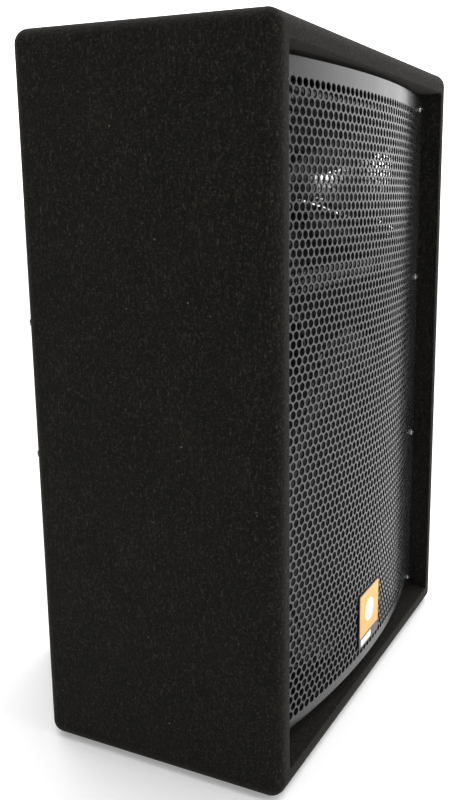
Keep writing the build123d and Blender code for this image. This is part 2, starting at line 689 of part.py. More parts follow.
with BuildPart() as input_dish:
    with BuildSketch(dish_plane.offset(-CARPET)):
        RectangleRounded(DISH_W + 2 * DISH_FLANGE + 10, DISH_L + 16, 14)
    extrude(amount=CARPET)
    with BuildSketch(dish_plane.offset(FLOOR - DISH_WALL)):
        RectangleRounded(DISH_W, DISH_L, 10)
    extrude(amount=DISH_DEEP + DISH_WALL)
    with BuildSketch(dish_plane.offset(FLOOR)):
        RectangleRounded(DISH_W - 2 * DISH_WALL, DISH_L - 2 * DISH_WALL, 8)
    extrude(amount=DISH_DEEP, mode=Mode.SUBTRACT)
    with BuildSketch(dish_plane.offset(FLOOR - DISH_WALL)):
        with Locations((0, SOCKET_Z)):
            Circle(14.3)
        with Locations(*JACKS):
            Circle(6.3)
    extrude(amount=DISH_WALL, mode=Mode.SUBTRACT)
    with BuildSketch(dish_plane.offset(-CARPET)):
        with GridLocations(DISH_W + DISH_FLANGE, DISH_L - 24, 2, 2):
            Circle(1.5 + FINGER_GAP)
    extrude(amount=CARPET, mode=Mode.SUBTRACT)
save(input_dish, "input_dish")

with BuildPart() as speaker_socket:
    with BuildSketch(dish_plane.offset(FLOOR)):
        with Locations((0, SOCKET_Z)):
            RectangleRounded(34, 34, 4)
    extrude(amount=2.5)
    with BuildSketch(dish_plane.offset(FLOOR - SOCKET_DEEP)):
        with Locations((0, SOCKET_Z)):
            Circle(14)
    extrude(amount=SOCKET_DEEP)
    with BuildSketch(dish_plane.offset(FLOOR - SOCKET_DEEP + 2)):
        with Locations((0, SOCKET_Z)):
            Circle(SOCKET_R)
    extrude(amount=SOCKET_DEEP + 0.5, mode=Mode.SUBTRACT)
save(speaker_socket, "speaker_socket")

with BuildPart() as jack_sockets:
    with BuildSketch(dish_plane.offset(FLOOR - DISH_WALL - JACK_DEEP)):
        with Locations(*JACKS):
            RectangleRounded(20, 17, 2)
    extrude(amount=JACK_DEEP)
    with BuildSketch(dish_plane.offset(FLOOR - DISH_WALL)):
        with Locations(*JACKS):
            Circle(6)
    extrude(amount=DISH_WALL + 4.5)
    with BuildSketch(dish_plane.offset(FLOOR - DISH_WALL - JACK_DEEP + 3)):
        with Locations(*JACKS):
            Circle(JACK_R)
    extrude(amount=JACK_DEEP + DISH_WALL + 1.5, mode=Mode.SUBTRACT)
save(jack_sockets, "jack_sockets")

with BuildPart() as jack_nuts:
    with BuildSketch(dish_plane.offset(FLOOR)):
        with Locations(*JACKS):
            RegularPolygon(9, 6)
            Circle(6.2, mode=Mode.SUBTRACT)
    extrude(amount=2.6)
save(jack_nuts, "jack_nuts")

with BuildPart() as dish_screws:
    with BuildSketch(dish_plane):
        with GridLocations(DISH_W + DISH_FLANGE, DISH_L - 24, 2, 2):
            Circle(3.2)
    extrude(amount=1.6, taper=20)
    with BuildSketch(dish_plane.offset(-CARPET - 9)):
        with GridLocations(DISH_W + DISH_FLANGE, DISH_L - 24, 2, 2):
            Circle(1.5)
    extrude(amount=CARPET + 9)
save(dish_screws, "dish_screws")

# ---------------------------------------------------------------- leads inside the cabinet
LEAD_R = 2.5


def lead(points):
    """A two-core lead: straight runs joined by arcs as large as the shorter run beside each allows."""
    corners = [Vector(*p) for p in points]
    radii = []
    for before, here, after in zip(corners, corners[1:], corners[2:]):
        first, second = here - before, after - here
        half_turn = radians(first.get_angle(second)) / 2
        radii.append(0.45 * min(first.length, second.length) / tan(half_turn))
    with BuildPart() as cable:
        with BuildLine() as route:
            FilletPolyline(*points, radius=radii)
        with BuildSketch(Plane(origin=corners[0], z_dir=corners[1] - corners[0])):
            Circle(LEAD_R)
        sweep(path=route.wires()[0])
    return cable.part


socket_back = dish_plane.from_local_coords((0, SOCKET_Z, FLOOR - SOCKET_DEEP))
socket_out = dish_plane.from_local_coords((0, SOCKET_Z, FLOOR - SOCKET_DEEP - 28))
XO_TOP = XO_Z + XO_H / 2
TERMINAL_Y = BOARD_Y + PLATE_DEPTH + 5
DRIVER_EDGE_X = HORN_X - 46
DRIVER_Y = BOARD_Y + THROAT_DEPTH + 30.5
input_route = [
    tuple(socket_back), tuple(socket_out), (-80, 30, 306), (-104, -4, 270), (-144, -12, XO_TOP - 13),
    (XO_FACE, -12, XO_TOP - 13),
]
woofer_route = [
    (WOOFER_X - 72, TERMINAL_Y, WOOFER_Z + 7), (WOOFER_X - 72, TERMINAL_Y + 24, WOOFER_Z + 7),
    (-112, -6, 176), (-146, -12, 155), (XO_FACE, -12, 155),
]
driver_route = [
    (XO_FACE, -38, XO_TOP - 4), (-146, -38, XO_TOP - 4), (-112, -44, 294), (-94, -47, 340),
    (-93, -46, 396), (-94, -30, 446), (DRIVER_EDGE_X - 26, DRIVER_Y, HORN_Z),
    (DRIVER_EDGE_X, DRIVER_Y, HORN_Z),
]
with BuildPart() as internal_leads:
    for route_points in (input_route, woofer_route, driver_route):
        add(lead(route_points))
save(internal_leads, "internal_leads")

# ---------------------------------------------------------------- carrying handle in the top end
HANDLE_WALL, BAR_R = 2.5, 9.0
with BuildPart() as handle_cup:
    with BuildSketch(handle_plane.offset(-CARPET)):
        RectangleRounded(HANDLE_L + 24, HANDLE_W + 14, 16)
    extrude(amount=CARPET)
    with BuildSketch(handle_plane.offset(-HANDLE_DEEP - HANDLE_WALL)):
        RectangleRounded(HANDLE_L, HANDLE_W, 12)
    extrude(amount=HANDLE_DEEP + HANDLE_WALL)
    with BuildSketch(handle_plane.offset(-HANDLE_DEEP)):
        RectangleRounded(HANDLE_L - 2 * HANDLE_WALL, HANDLE_W - 2 * HANDLE_WALL, 9.5)
    extrude(amount=HANDLE_DEEP, mode=Mode.SUBTRACT)
    with BuildSketch(handle_plane.offset(-CARPET)):
        with GridLocations(HANDLE_L + 12, HANDLE_W - 20, 2, 2):
            Circle(SCREW_R + FINGER_GAP)
    extrude(amount=CARPET, mode=Mode.SUBTRACT)
save(handle_cup, "handle_cup")

BAR_HALF = HANDLE_L / 2 - HANDLE_WALL
with BuildPart() as handle_bar:
    bar_plane = Plane(
        origin=(HANDLE_X - BAR_HALF, HANDLE_Y, HEIGHT - BAR_R - 2), x_dir=(0, 1, 0), z_dir=(1, 0, 0)
    )
    with BuildSketch(bar_plane):
        Circle(BAR_R)
    extrude(amount=2 * BAR_HALF)
save(handle_bar, "handle_bar")

# ---------------------------------------------------------------- pole socket in the bottom end
with BuildPart() as pole_socket:
    with BuildSketch(pole_plane.offset(-CARPET)):
        Circle(40)
    extrude(amount=CARPET)
    with BuildSketch(pole_plane.offset(-POLE_DEEP - 3)):
        Circle(POLE_R + 3)
    extrude(amount=POLE_DEEP + 3)
    with BuildSketch(pole_plane.offset(-POLE_DEEP)):
        Circle(POLE_R)
    extrude(amount=POLE_DEEP, mode=Mode.SUBTRACT)
    with BuildSketch(pole_plane.offset(-CARPET)):
        with PolarLocations(32, 4, 45):
            Circle(SCREW_R + FINGER_GAP)
    extrude(amount=CARPET, mode=Mode.SUBTRACT)
save(pole_socket, "pole_socket")

# ---------------------------------------------------------------- flush screws of the handle and the pole socket
with BuildPart() as fitting_screws:
    with BuildSketch(handle_plane.offset(-CARPET - FITTING_SCREW)):
        with GridLocations(HANDLE_L + 12, HANDLE_W - 20, 2, 2):
            Circle(SCREW_R)
    extrude(amount=CARPET + FITTING_SCREW)
    with BuildSketch(pole_plane.offset(-CARPET - FITTING_SCREW)):
        with PolarLocations(32, 4, 45):
            Circle(SCREW_R)
    extrude(amount=CARPET + FITTING_SCREW)
save(fitting_screws, "fitting_screws")

# ---------------------------------------------------------------- rubber feet on the base panel
with BuildPart() as rubber_feet:
    with BuildSketch(base_plane):
        with Locations(*FEET):
            Circle(FOOT_R)
    extrude(amount=FOOT_H, taper=8)
    with BuildSketch(base_plane):
        with Locations(*FEET):
            Circle(SCREW_R + FINGER_GAP)
    extrude(amount=FOOT_H, mode=Mode.SUBTRACT)
    with BuildSketch(base_plane.offset(4)):
        with Locations(*FEET):
            Circle(6)
    extrude(amount=FOOT_H, mode=Mode.SUBTRACT)
save(rubber_feet, "rubber_feet")

with BuildPart() as feet_screws:
    with BuildSketch(base_plane.offset(4)):
        with Locations(*FEET):
            Circle(5)
    extrude(amount=2.4, taper=15)
    with BuildSketch(base_plane.offset(-CARPET - 12)):
        with Locations(*FEET):
            Circle(SCREW_R)
    extrude(amount=CARPET + 12 + 4)
save(feet_screws, "feet_screws")
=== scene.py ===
import json
import math
from functools import partial

import bmesh
import bpy
from mathutils import Matrix, Vector, noise


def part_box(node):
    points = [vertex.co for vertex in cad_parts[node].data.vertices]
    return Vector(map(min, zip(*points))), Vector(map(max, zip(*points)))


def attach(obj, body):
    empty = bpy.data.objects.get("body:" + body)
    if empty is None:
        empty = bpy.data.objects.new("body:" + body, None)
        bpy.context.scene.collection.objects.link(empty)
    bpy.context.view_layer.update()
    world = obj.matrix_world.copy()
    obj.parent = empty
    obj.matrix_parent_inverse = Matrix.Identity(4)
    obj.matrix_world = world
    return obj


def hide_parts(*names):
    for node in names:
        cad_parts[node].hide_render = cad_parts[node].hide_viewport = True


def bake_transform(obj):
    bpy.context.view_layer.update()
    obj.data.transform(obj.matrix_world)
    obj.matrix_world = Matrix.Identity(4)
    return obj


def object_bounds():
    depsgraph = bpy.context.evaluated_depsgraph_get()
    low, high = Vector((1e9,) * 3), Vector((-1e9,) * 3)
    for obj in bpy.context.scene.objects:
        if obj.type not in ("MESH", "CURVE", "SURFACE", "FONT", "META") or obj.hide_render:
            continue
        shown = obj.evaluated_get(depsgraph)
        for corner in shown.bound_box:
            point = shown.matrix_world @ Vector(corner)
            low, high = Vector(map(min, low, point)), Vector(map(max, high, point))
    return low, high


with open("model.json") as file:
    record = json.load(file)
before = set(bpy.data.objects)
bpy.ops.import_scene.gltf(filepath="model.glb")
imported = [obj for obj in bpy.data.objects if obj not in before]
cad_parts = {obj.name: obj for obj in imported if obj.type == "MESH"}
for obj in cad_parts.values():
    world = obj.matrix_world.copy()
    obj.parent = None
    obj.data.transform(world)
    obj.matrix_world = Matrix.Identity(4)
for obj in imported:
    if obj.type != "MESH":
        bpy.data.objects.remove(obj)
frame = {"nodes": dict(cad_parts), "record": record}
cad_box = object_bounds()

# ---------------------------------------------------------------- sizes, in metres, from the frame
LOW, HIGH = cad_box
HEIGHT = HIGH.z
EDGE_R = 0.012           # rounding of every outer edge
SIDE_DEPTH = 0.218       # the deep side panel, front to back
KICK_DEPTH = 0.056       # the shallow panel opposite it
DEPTH = 0.324
REAR_OVERHANG = 0.0042   # how far the rear edge would pass DEPTH if it were sharp
CARPET_T = 0.0022
GRILLE_T = 0.0014
FLANGE_W = 0.0153        # the grille's flat flange down each side

grille_low, grille_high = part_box("grille")
BOARD_Y = grille_high.y
FLANGE_Y = BOARD_Y - GRILLE_T
RECESS_HALF_X = grille_high.x + 0.0006
RIM = HIGH.x - RECESS_HALF_X

# The plan, anticlockwise from above: front, kick panel, slanted base, back panel, deep side.
SHARP_Y = LOW.y + DEPTH + REAR_OVERHANG
REAR_X = HIGH.x - (SHARP_Y - LOW.y - KICK_DEPTH)
CORNERS = [
    Vector((LOW.x, LOW.y)),
    Vector((HIGH.x, LOW.y)),
    Vector((HIGH.x, LOW.y + KICK_DEPTH)),
    Vector((REAR_X, SHARP_Y)),
    Vector((LOW.x, LOW.y + SIDE_DEPTH)),
]
BASE, BACK = 2, 3        # the corners where those sides start
ACROSS, INWARD, UP = Vector((1, 0, 0)), Vector((0, 1, 0)), Vector((0, 0, 1))


# ---------------------------------------------------------------- meshes
def middle(node):
    """The middle of a CAD node's box."""
    lo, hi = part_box(node)
    return (lo + hi) / 2


def smooth(mesh, angle=32):
    """Smooth shading, with creases where faces meet at more than an angle in degrees."""
    mesh.shade_smooth()
    mesh.set_sharp_from_angle(angle=math.radians(angle))


def loose(name, verts, faces):
    """A mesh object with its doubled points joined and its faces turned outwards."""
    mesh = bpy.data.meshes.new(name)
    mesh.from_pydata([tuple(v) for v in verts], [], faces)
    bm = bmesh.new()
    bm.from_mesh(mesh)
    bmesh.ops.remove_doubles(bm, verts=bm.verts, dist=1e-6)
    bmesh.ops.recalc_face_normals(bm, faces=bm.faces)
    bm.to_mesh(mesh)
    bm.free()
    obj = bpy.data.objects.new(name, mesh)
    bpy.context.scene.collection.objects.link(obj)
    return obj


def piece(name, verts, faces, slot, stands_for=(), body="cabinet", angle=32):
    """A mesh piece that rides a body and takes its slot's material."""
    obj = loose(name, verts, faces)
    smooth(obj.data, angle)
    return dress(obj, slot, stands_for, body)


def dress(obj, slot, stands_for=(), body="cabinet"):
    """Gives an object its slot's material and its body, and hides the CAD nodes that it stands for."""
    obj.data.materials.clear()
    obj.data.materials.append(material(slot))
    if body:
        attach(obj, body)
    if stands_for:
        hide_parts(*stands_for)
    return obj


def baked(obj):
    """The object's mesh with its modifiers worked in."""
    graph = bpy.context.evaluated_depsgraph_get()
    mesh = bpy.data.meshes.new_from_object(obj.evaluated_get(graph))
    obj.modifiers.clear()
    obj.data = mesh
    return obj


def cut(obj, cutters):
    """Takes the cutters out of a solid object, then removes them."""
    for c in cutters:
        m = obj.modifiers.new("cut", "BOOLEAN")
        m.operation = "DIFFERENCE"
        m.solver = "EXACT"
        m.object = c
    baked(obj)
    for c in cutters:
        bpy.data.objects.remove(c)
    return obj


def loft(rings, joined=False):
    """Verts and faces of a skin through closed rings of equal length, capped or joined end to end."""
    n = len(rings[0])
    verts = [p for ring in rings for p in ring]
    faces = []
    for i in range(len(rings) if joined else len(rings) - 1):
        a, b = i * n, (i + 1) % len(rings) * n
        for j in range(n):
            k = (j + 1) % n
            faces.append((a + j, a + k, b + k, b + j))
    if not joined:
        faces.append(tuple(range(n)))
        faces.append(tuple(reversed(range(len(verts) - n, len(verts)))))
    return verts, faces


def lathe(profile, origin, axis, across, segments=64):
    """Verts and faces of a closed profile of (radius, along) turned about an axis."""
    axis, across = axis.normalized(), across.normalized()
    other = axis.cross(across)
    rings = []
    for s in range(segments):
        a = 2 * math.pi * s / segments
        out = across * math.cos(a) + other * math.sin(a)
        rings.append([origin + out * r + axis * h for r, h in profile])
    return loft(rings, joined=True)


def join(parts):
    """Several (verts, faces) as one."""
    verts, faces = [], []
    for v, f in parts:
        start = len(verts)
        verts += list(v)
        faces += [tuple(i + start for i in face) for face in f]
    return verts, faces


def rounded(width, height, radius, steps=6):
    """The points of a rounded rectangle round the origin."""
    points = []
    for quarter, (sx, sy) in enumerate(((1, 1), (-1, 1), (-1, -1), (1, -1))):
        for s in range(steps + 1):
            a = math.pi / 2 * (quarter + s / steps)
            points.append(
                (
                    sx * (width / 2 - radius) + radius * math.cos(a),
                    sy * (height / 2 - radius) + radius * math.sin(a),
                )
            )
    return points


def slab(width, height, radius, thickness, bevel, place, rim=0.0, sunk=0.0):
    """A rounded plate with a bevelled edge and, inside any rim, a sunk middle.

    place(x, y, out) gives the point in the frame.
    """
    levels = [(0, 0), (0, thickness - bevel)]
    levels += [
        (bevel * (1 - math.cos(a)), thickness - bevel + bevel * math.sin(a))
        for a in (math.pi / 8 * i for i in range(1, 5))
    ]
    if rim:
        levels += [(rim, thickness), (rim + sunk, thickness - sunk)]
    rings = [
        [
            place(x, y, out)
            for x, y in rounded(width - 2 * inset, height - 2 * inset, max(radius - inset, 1e-4))
        ]
        for inset, out in levels
    ]
    return loft(rings)


# ---------------------------------------------------------------- procedural materials
def new_material(name):
    """A node material that holds one Principled shader, and that shader."""
    made = bpy.data.materials.new(name)
    made.use_nodes = True
    nodes = made.node_tree.nodes
    nodes.clear()
    out = nodes.new("ShaderNodeOutputMaterial")
    shader = nodes.new("ShaderNodeBsdfPrincipled")
    made.node_tree.links.new(shader.outputs["BSDF"], out.inputs["Surface"])
    return made, shader


class Graph:
    """Short ways to add nodes to one material."""

    def __init__(self, name):
        self.material, self.shader = new_material(name)
        self.tree = self.material.node_tree
        self.coords = self.tree.nodes.new("ShaderNodeTexCoord").outputs["Object"]

    def link(self, a, b):
        self.tree.links.new(a, b)

    def stretched(self, scale):
        node = self.tree.nodes.new("ShaderNodeMapping")
        node.inputs["Scale"].default_value = scale
        self.link(self.coords, node.inputs["Vector"])
        return node.outputs["Vector"]

    def noise(self, size, detail=4.0, rough=0.55, vector=None, distortion=0.0):
        """Noise with features of about this size in metres."""
        node = self.tree.nodes.new("ShaderNodeTexNoise")
        node.inputs["Scale"].default_value = 1 / size
        node.inputs["Detail"].default_value = detail
        node.inputs["Roughness"].default_value = rough
        node.inputs["Distortion"].default_value = distortion
        self.link(vector or self.coords, node.inputs["Vector"])
        return node.outputs["Fac"]

    def cells(self, size, feature="F1", vector=None):
        node = self.tree.nodes.new("ShaderNodeTexVoronoi")
        node.feature = feature
        node.inputs["Scale"].default_value = 1 / size
        self.link(vector or self.coords, node.inputs["Vector"])
        return node

    def spread(self, value, low, high, to_low=0.0, to_high=1.0):
        """A value mapped from one range to another, held at its ends."""
        node = self.tree.nodes.new("ShaderNodeMapRange")
        node.inputs["From Min"].default_value = low
        node.inputs["From Max"].default_value = high
        node.inputs["To Min"].default_value = to_low
        node.inputs["To Max"].default_value = to_high
        self.link(value, node.inputs["Value"])
        return node.outputs["Result"]

    def ramp(self, value, *stops):
        """Colours along a value, as (place, colour) stops."""
        node = self.tree.nodes.new("ShaderNodeValToRGB")
        elements = node.color_ramp.elements
        while len(elements) < len(stops):
            elements.new(0.5)
        for element, (at, colour) in zip(elements, stops):
            element.position = at
            element.color = (*colour, 1)
        self.link(value, node.inputs["Fac"])
        return node.outputs["Color"]

    def mix(self, share, first, second, how="MIX"):
        """Two colours mixed by a share that is a socket."""
        node = self.tree.nodes.new("ShaderNodeMix")
        node.data_type = "RGBA"
        node.blend_type = how
        self.link(share, node.inputs["Factor"])
        for socket, value in ((node.inputs[6], first), (node.inputs[7], second)):
            if isinstance(value, tuple):
                socket.default_value = (*value, 1)
            else:
                self.link(value, socket)
        return node.outputs[2]

    def times(self, a, b, operation="MULTIPLY"):
        node = self.tree.nodes.new("ShaderNodeMath")
        node.operation = operation
        self.link(a, node.inputs[0])
        if isinstance(b, float):
            node.inputs[1].default_value = b
        else:
            self.link(b, node.inputs[1])
        return node.outputs[0]

    def bump(self, height, strength, distance, under=None):
        node = self.tree.nodes.new("ShaderNodeBump")
        node.inputs["Strength"].default_value = strength
        node.inputs["Distance"].default_value = distance
        self.link(height, node.inputs["Height"])
        if under:
            self.link(under, node.inputs["Normal"])
        return node.outputs["Normal"]

    def finish(self, colour=None, roughness=None, normal=None, **constants):
        for name, value in (("Base Color", colour), ("Roughness", roughness), ("Normal", normal)):
            if value:
                self.link(value, self.shader.inputs[name])
        for name, value in constants.items():
            self.shader.inputs[name.replace("_", " ")].default_value = value
        return self.material


def shade(colour, share):
    """A colour made darker or lighter by a share."""
    return tuple(c * share for c in colour)


def plain(
    name, colour, rough, size=0.02, varies=0.15, grain=0.0006, dent=0.00003, dust=0.0, **constants
):
    """A moulded, painted or metal surface: cloudy colour, uneven gloss, fine grain, a little dust."""
    g = Graph(name)
    clouds = g.noise(size, 5)
    fine = g.noise(grain, 3)
    body = g.ramp(clouds, (0.3, shade(colour, 1 - varies)), (0.7, shade(colour, 1 + varies)))
    if dust:
        specks = g.spread(g.noise(0.0011, 6, 0.7), 0.56, 0.72)
        body = g.mix(g.times(specks, dust), body, (0.30, 0.28, 0.25))
    gloss = g.spread(g.noise(size * 0.4, 6), 0.3, 0.7, rough * 0.88, min(rough * 1.15, 1))
    return g.finish(body, gloss, g.bump(fine, 0.5, dent), **constants)


def carpet(name):
    """Needle-felt carpet: near-black matted fibres, paler where they stand up, with some lint."""
    g = Graph(name)
    tuft = g.noise(0.0030, 4, 0.65)
    fibre = g.noise(0.0015, 5, 0.75, g.stretched((1, 1, 0.33)), 0.5)
    cross = g.noise(0.0013, 5, 0.75, g.stretched((0.6, 0.6, 0.9)), 0.6)
    wear = g.noise(0.05, 4)
    strands = g.times(fibre, cross, "MAXIMUM")
    dark = g.ramp(
        strands,
        (0.46, (0.0010, 0.0010, 0.0009)),
        (0.57, (0.0056, 0.0052, 0.0044)),
        (0.71, (0.048, 0.042, 0.032)),
    )
    worn = g.mix(g.spread(wear, 0.45, 0.75, 0, 0.35), dark, (0.005, 0.0042, 0.0030), "ADD")
    lint = g.cells(0.009)
    close = g.spread(lint.outputs["Distance"], 0.04, 0.085, 1, 0)
    some = g.spread(lint.outputs["Color"], 0.80, 0.95)
    colour = g.mix(g.times(close, some), worn, (0.16, 0.145, 0.12))
    normal = g.bump(tuft, 0.5, 0.0009)
    normal = g.bump(strands, 0.6, 0.0006, normal)
    return g.finish(
        colour,
        g.spread(fibre, 0.3, 0.7, 0.85, 1.0),
        normal,
        Sheen_Weight=0.045,
        Sheen_Roughness=0.45,
        Sheen_Tint=(1.0, 0.93, 0.82, 1),
        Specular_IOR_Level=0.12,
    )


def grille_paint(name):
    """Black powder coat on perforated steel: semi-gloss, a slight orange peel, dull dust in places."""
    g = Graph(name)
    clouds = g.noise(0.06, 5)
    peel = g.noise(0.0018, 2)
    grit = g.noise(0.0005, 3)
    base = g.ramp(clouds, (0.3, (0.011, 0.0112, 0.012)), (0.7, (0.018, 0.018, 0.019)))
    dusty = g.spread(g.noise(0.0012, 6, 0.75), 0.62, 0.78, 0, 0.2)
    colour = g.mix(dusty, base, (0.20, 0.19, 0.17))
    gloss = g.spread(g.noise(0.03, 5), 0.3, 0.7, 0.22, 0.30)
    normal = g.bump(grit, 0.25, 0.00003, g.bump(peel, 0.35, 0.00006))
    return g.finish(colour, gloss, normal, Specular_IOR_Level=0.75)


def wood(name):
    """Birch plywood: long grain, a few darker veins and a satin raw surface."""
    g = Graph(name)
    grain = g.noise(0.004, 6, 0.6, g.stretched((1, 1, 0.06)), 1.2)
    veins = g.noise(0.012, 3, 0.5, g.stretched((1, 1, 0.04)), 2.0)
    colour = g.ramp(
        grain,
        (0.30, (0.36, 0.23, 0.12)),
        (0.55, (0.55, 0.38, 0.22)),
        (0.80, (0.66, 0.49, 0.31)),
    )
    colour = g.mix(g.spread(veins, 0.6, 0.7, 0, 0.5), colour, (0.30, 0.18, 0.09))
    return g.finish(colour, g.spread(grain, 0.3, 0.7, 0.6, 0.8), g.bump(grain, 0.4, 0.0002))


def badge_plastic(name, colour, rough):
    """A printed badge: even colour, faint mottling, fine scratches, a clear gloss."""
    g = Graph(name)
    clouds = g.noise(0.012, 4)
    scratch = g.noise(0.0006, 3, 0.6, g.stretched((1, 1, 0.05)))
    body = g.ramp(clouds, (0.3, shade(colour, 0.93)), (0.7, shade(colour, 1.04)))
    gloss = g.spread(scratch, 0.5, 0.75, rough, rough * 1.7)
    return g.finish(body, gloss, g.bump(scratch, 0.1, 0.00001), Coat_Weight=0.15, Coat_Roughness=0.15)


def cone_paper(name):
    """Pressed paper pulp, charcoal, with a felted surface and short pale fibres."""
    g = Graph(name)
    pulp = g.noise(0.0022, 6, 0.7, None, 0.8)
    clouds = g.noise(0.03, 4)
    colour = g.ramp(pulp, (0.3, (0.006, 0.006, 0.006)), (0.7, (0.016, 0.016, 0.015)))
    colour = g.mix(g.spread(clouds, 0.4, 0.7, 0, 0.2), colour, (0.03, 0.028, 0.025))
    return g.finish(colour, g.spread(pulp, 0.3, 0.7, 0.75, 0.95), g.bump(pulp, 0.6, 0.0003))


def cloth(name, colour, pitch, rough=0.85):
    """Woven cloth, doped or raw: two sets of threads crossing."""
    g = Graph(name)
    waves = []
    for direction in ("X", "Z"):
        wave = g.tree.nodes.new("ShaderNodeTexWave")
        wave.bands_direction = direction
        wave.inputs["Scale"].default_value = 1 / (pitch * 20)
        wave.inputs["Distortion"].default_value = 0.4
        g.link(g.coords, wave.inputs["Vector"])
        waves.append(wave.outputs["Fac"])
    weave = g.times(waves[0], waves[1])
    threads = g.ramp(weave, (0.1, shade(colour, 0.6)), (0.7, shade(colour, 1.25)))
    gloss = g.spread(g.noise(0.004, 4), 0.3, 0.7, rough * 0.9, min(1, rough * 1.1))
    return g.finish(threads, gloss, g.bump(weave, 0.6, 0.0002))


def felt(name, colour):
    """Loose fibre wadding: pale tangled strands with open pores."""
    g = Graph(name)
    strands = g.noise(0.0018, 7, 0.8, None, 1.5)
    clumps = g.noise(0.02, 4)
    body = g.ramp(strands, (0.25, shade(colour, 0.45)), (0.7, colour))
    body = g.mix(g.spread(clumps, 0.35, 0.7, 0, 0.4), body, shade(colour, 0.7))
    normal = g.bump(strands, 0.9, 0.0015, g.bump(clumps, 0.5, 0.004))
    return g.finish(body, g.spread(strands, 0.3, 0.7, 0.9, 1.0), normal, Sheen_Weight=0.3)


def circuit(name):
    """A green board with paler tracks under its lacquer and bare pads."""
    g = Graph(name)
    tracks = g.cells(0.006, "DISTANCE_TO_EDGE")
    line = g.spread(tracks.outputs["Distance"], 0.05, 0.08, 1, 0)
    mottled = g.ramp(g.noise(0.01, 4), (0.3, (0.01, 0.09, 0.03)), (0.7, (0.015, 0.13, 0.045)))
    colour = g.mix(line, mottled, (0.05, 0.25, 0.09))
    gloss = g.spread(line, 0, 1, 0.35, 0.25)
    return g.finish(colour, gloss, g.bump(line, 0.4, 0.00004), Coat_Weight=0.4)


def wound_wire(name):
    """Enamelled copper wire laid in fine turns."""
    g = Graph(name)
    turns = g.noise(0.0012, 3, 0.5, g.stretched((0.2, 3.0, 0.2)))
    clouds = g.noise(0.01, 4)
    colour = g.ramp(turns, (0.3, (0.38, 0.13, 0.05)), (0.7, (0.80, 0.36, 0.16)))
    colour = g.mix(g.spread(clouds, 0.5, 0.8, 0, 0.5), colour, (0.30, 0.12, 0.05))
    gloss = g.spread(clouds, 0.3, 0.7, 0.25, 0.4)
    return g.finish(colour, gloss, g.bump(turns, 0.7, 0.0002), Metallic=1.0)


def rubber(name, colour=(0.016, 0.016, 0.016), bloom=0.25):
    """Moulded rubber: matt, with a grey bloom and a pebbled skin."""
    g = Graph(name)
    clouds = g.noise(0.015, 5, 0.65)
    pebble = g.noise(0.0011, 2)
    body = g.ramp(clouds, (0.3, shade(colour, 0.8)), (0.7, shade(colour, 1.3)))
    body = g.mix(g.spread(clouds, 0.55, 0.8, 0, bloom), body, (0.10, 0.097, 0.09))
    return g.finish(body, g.spread(clouds, 0.3, 0.7, 0.6, 0.85), g.bump(pebble, 0.5, 0.00012))


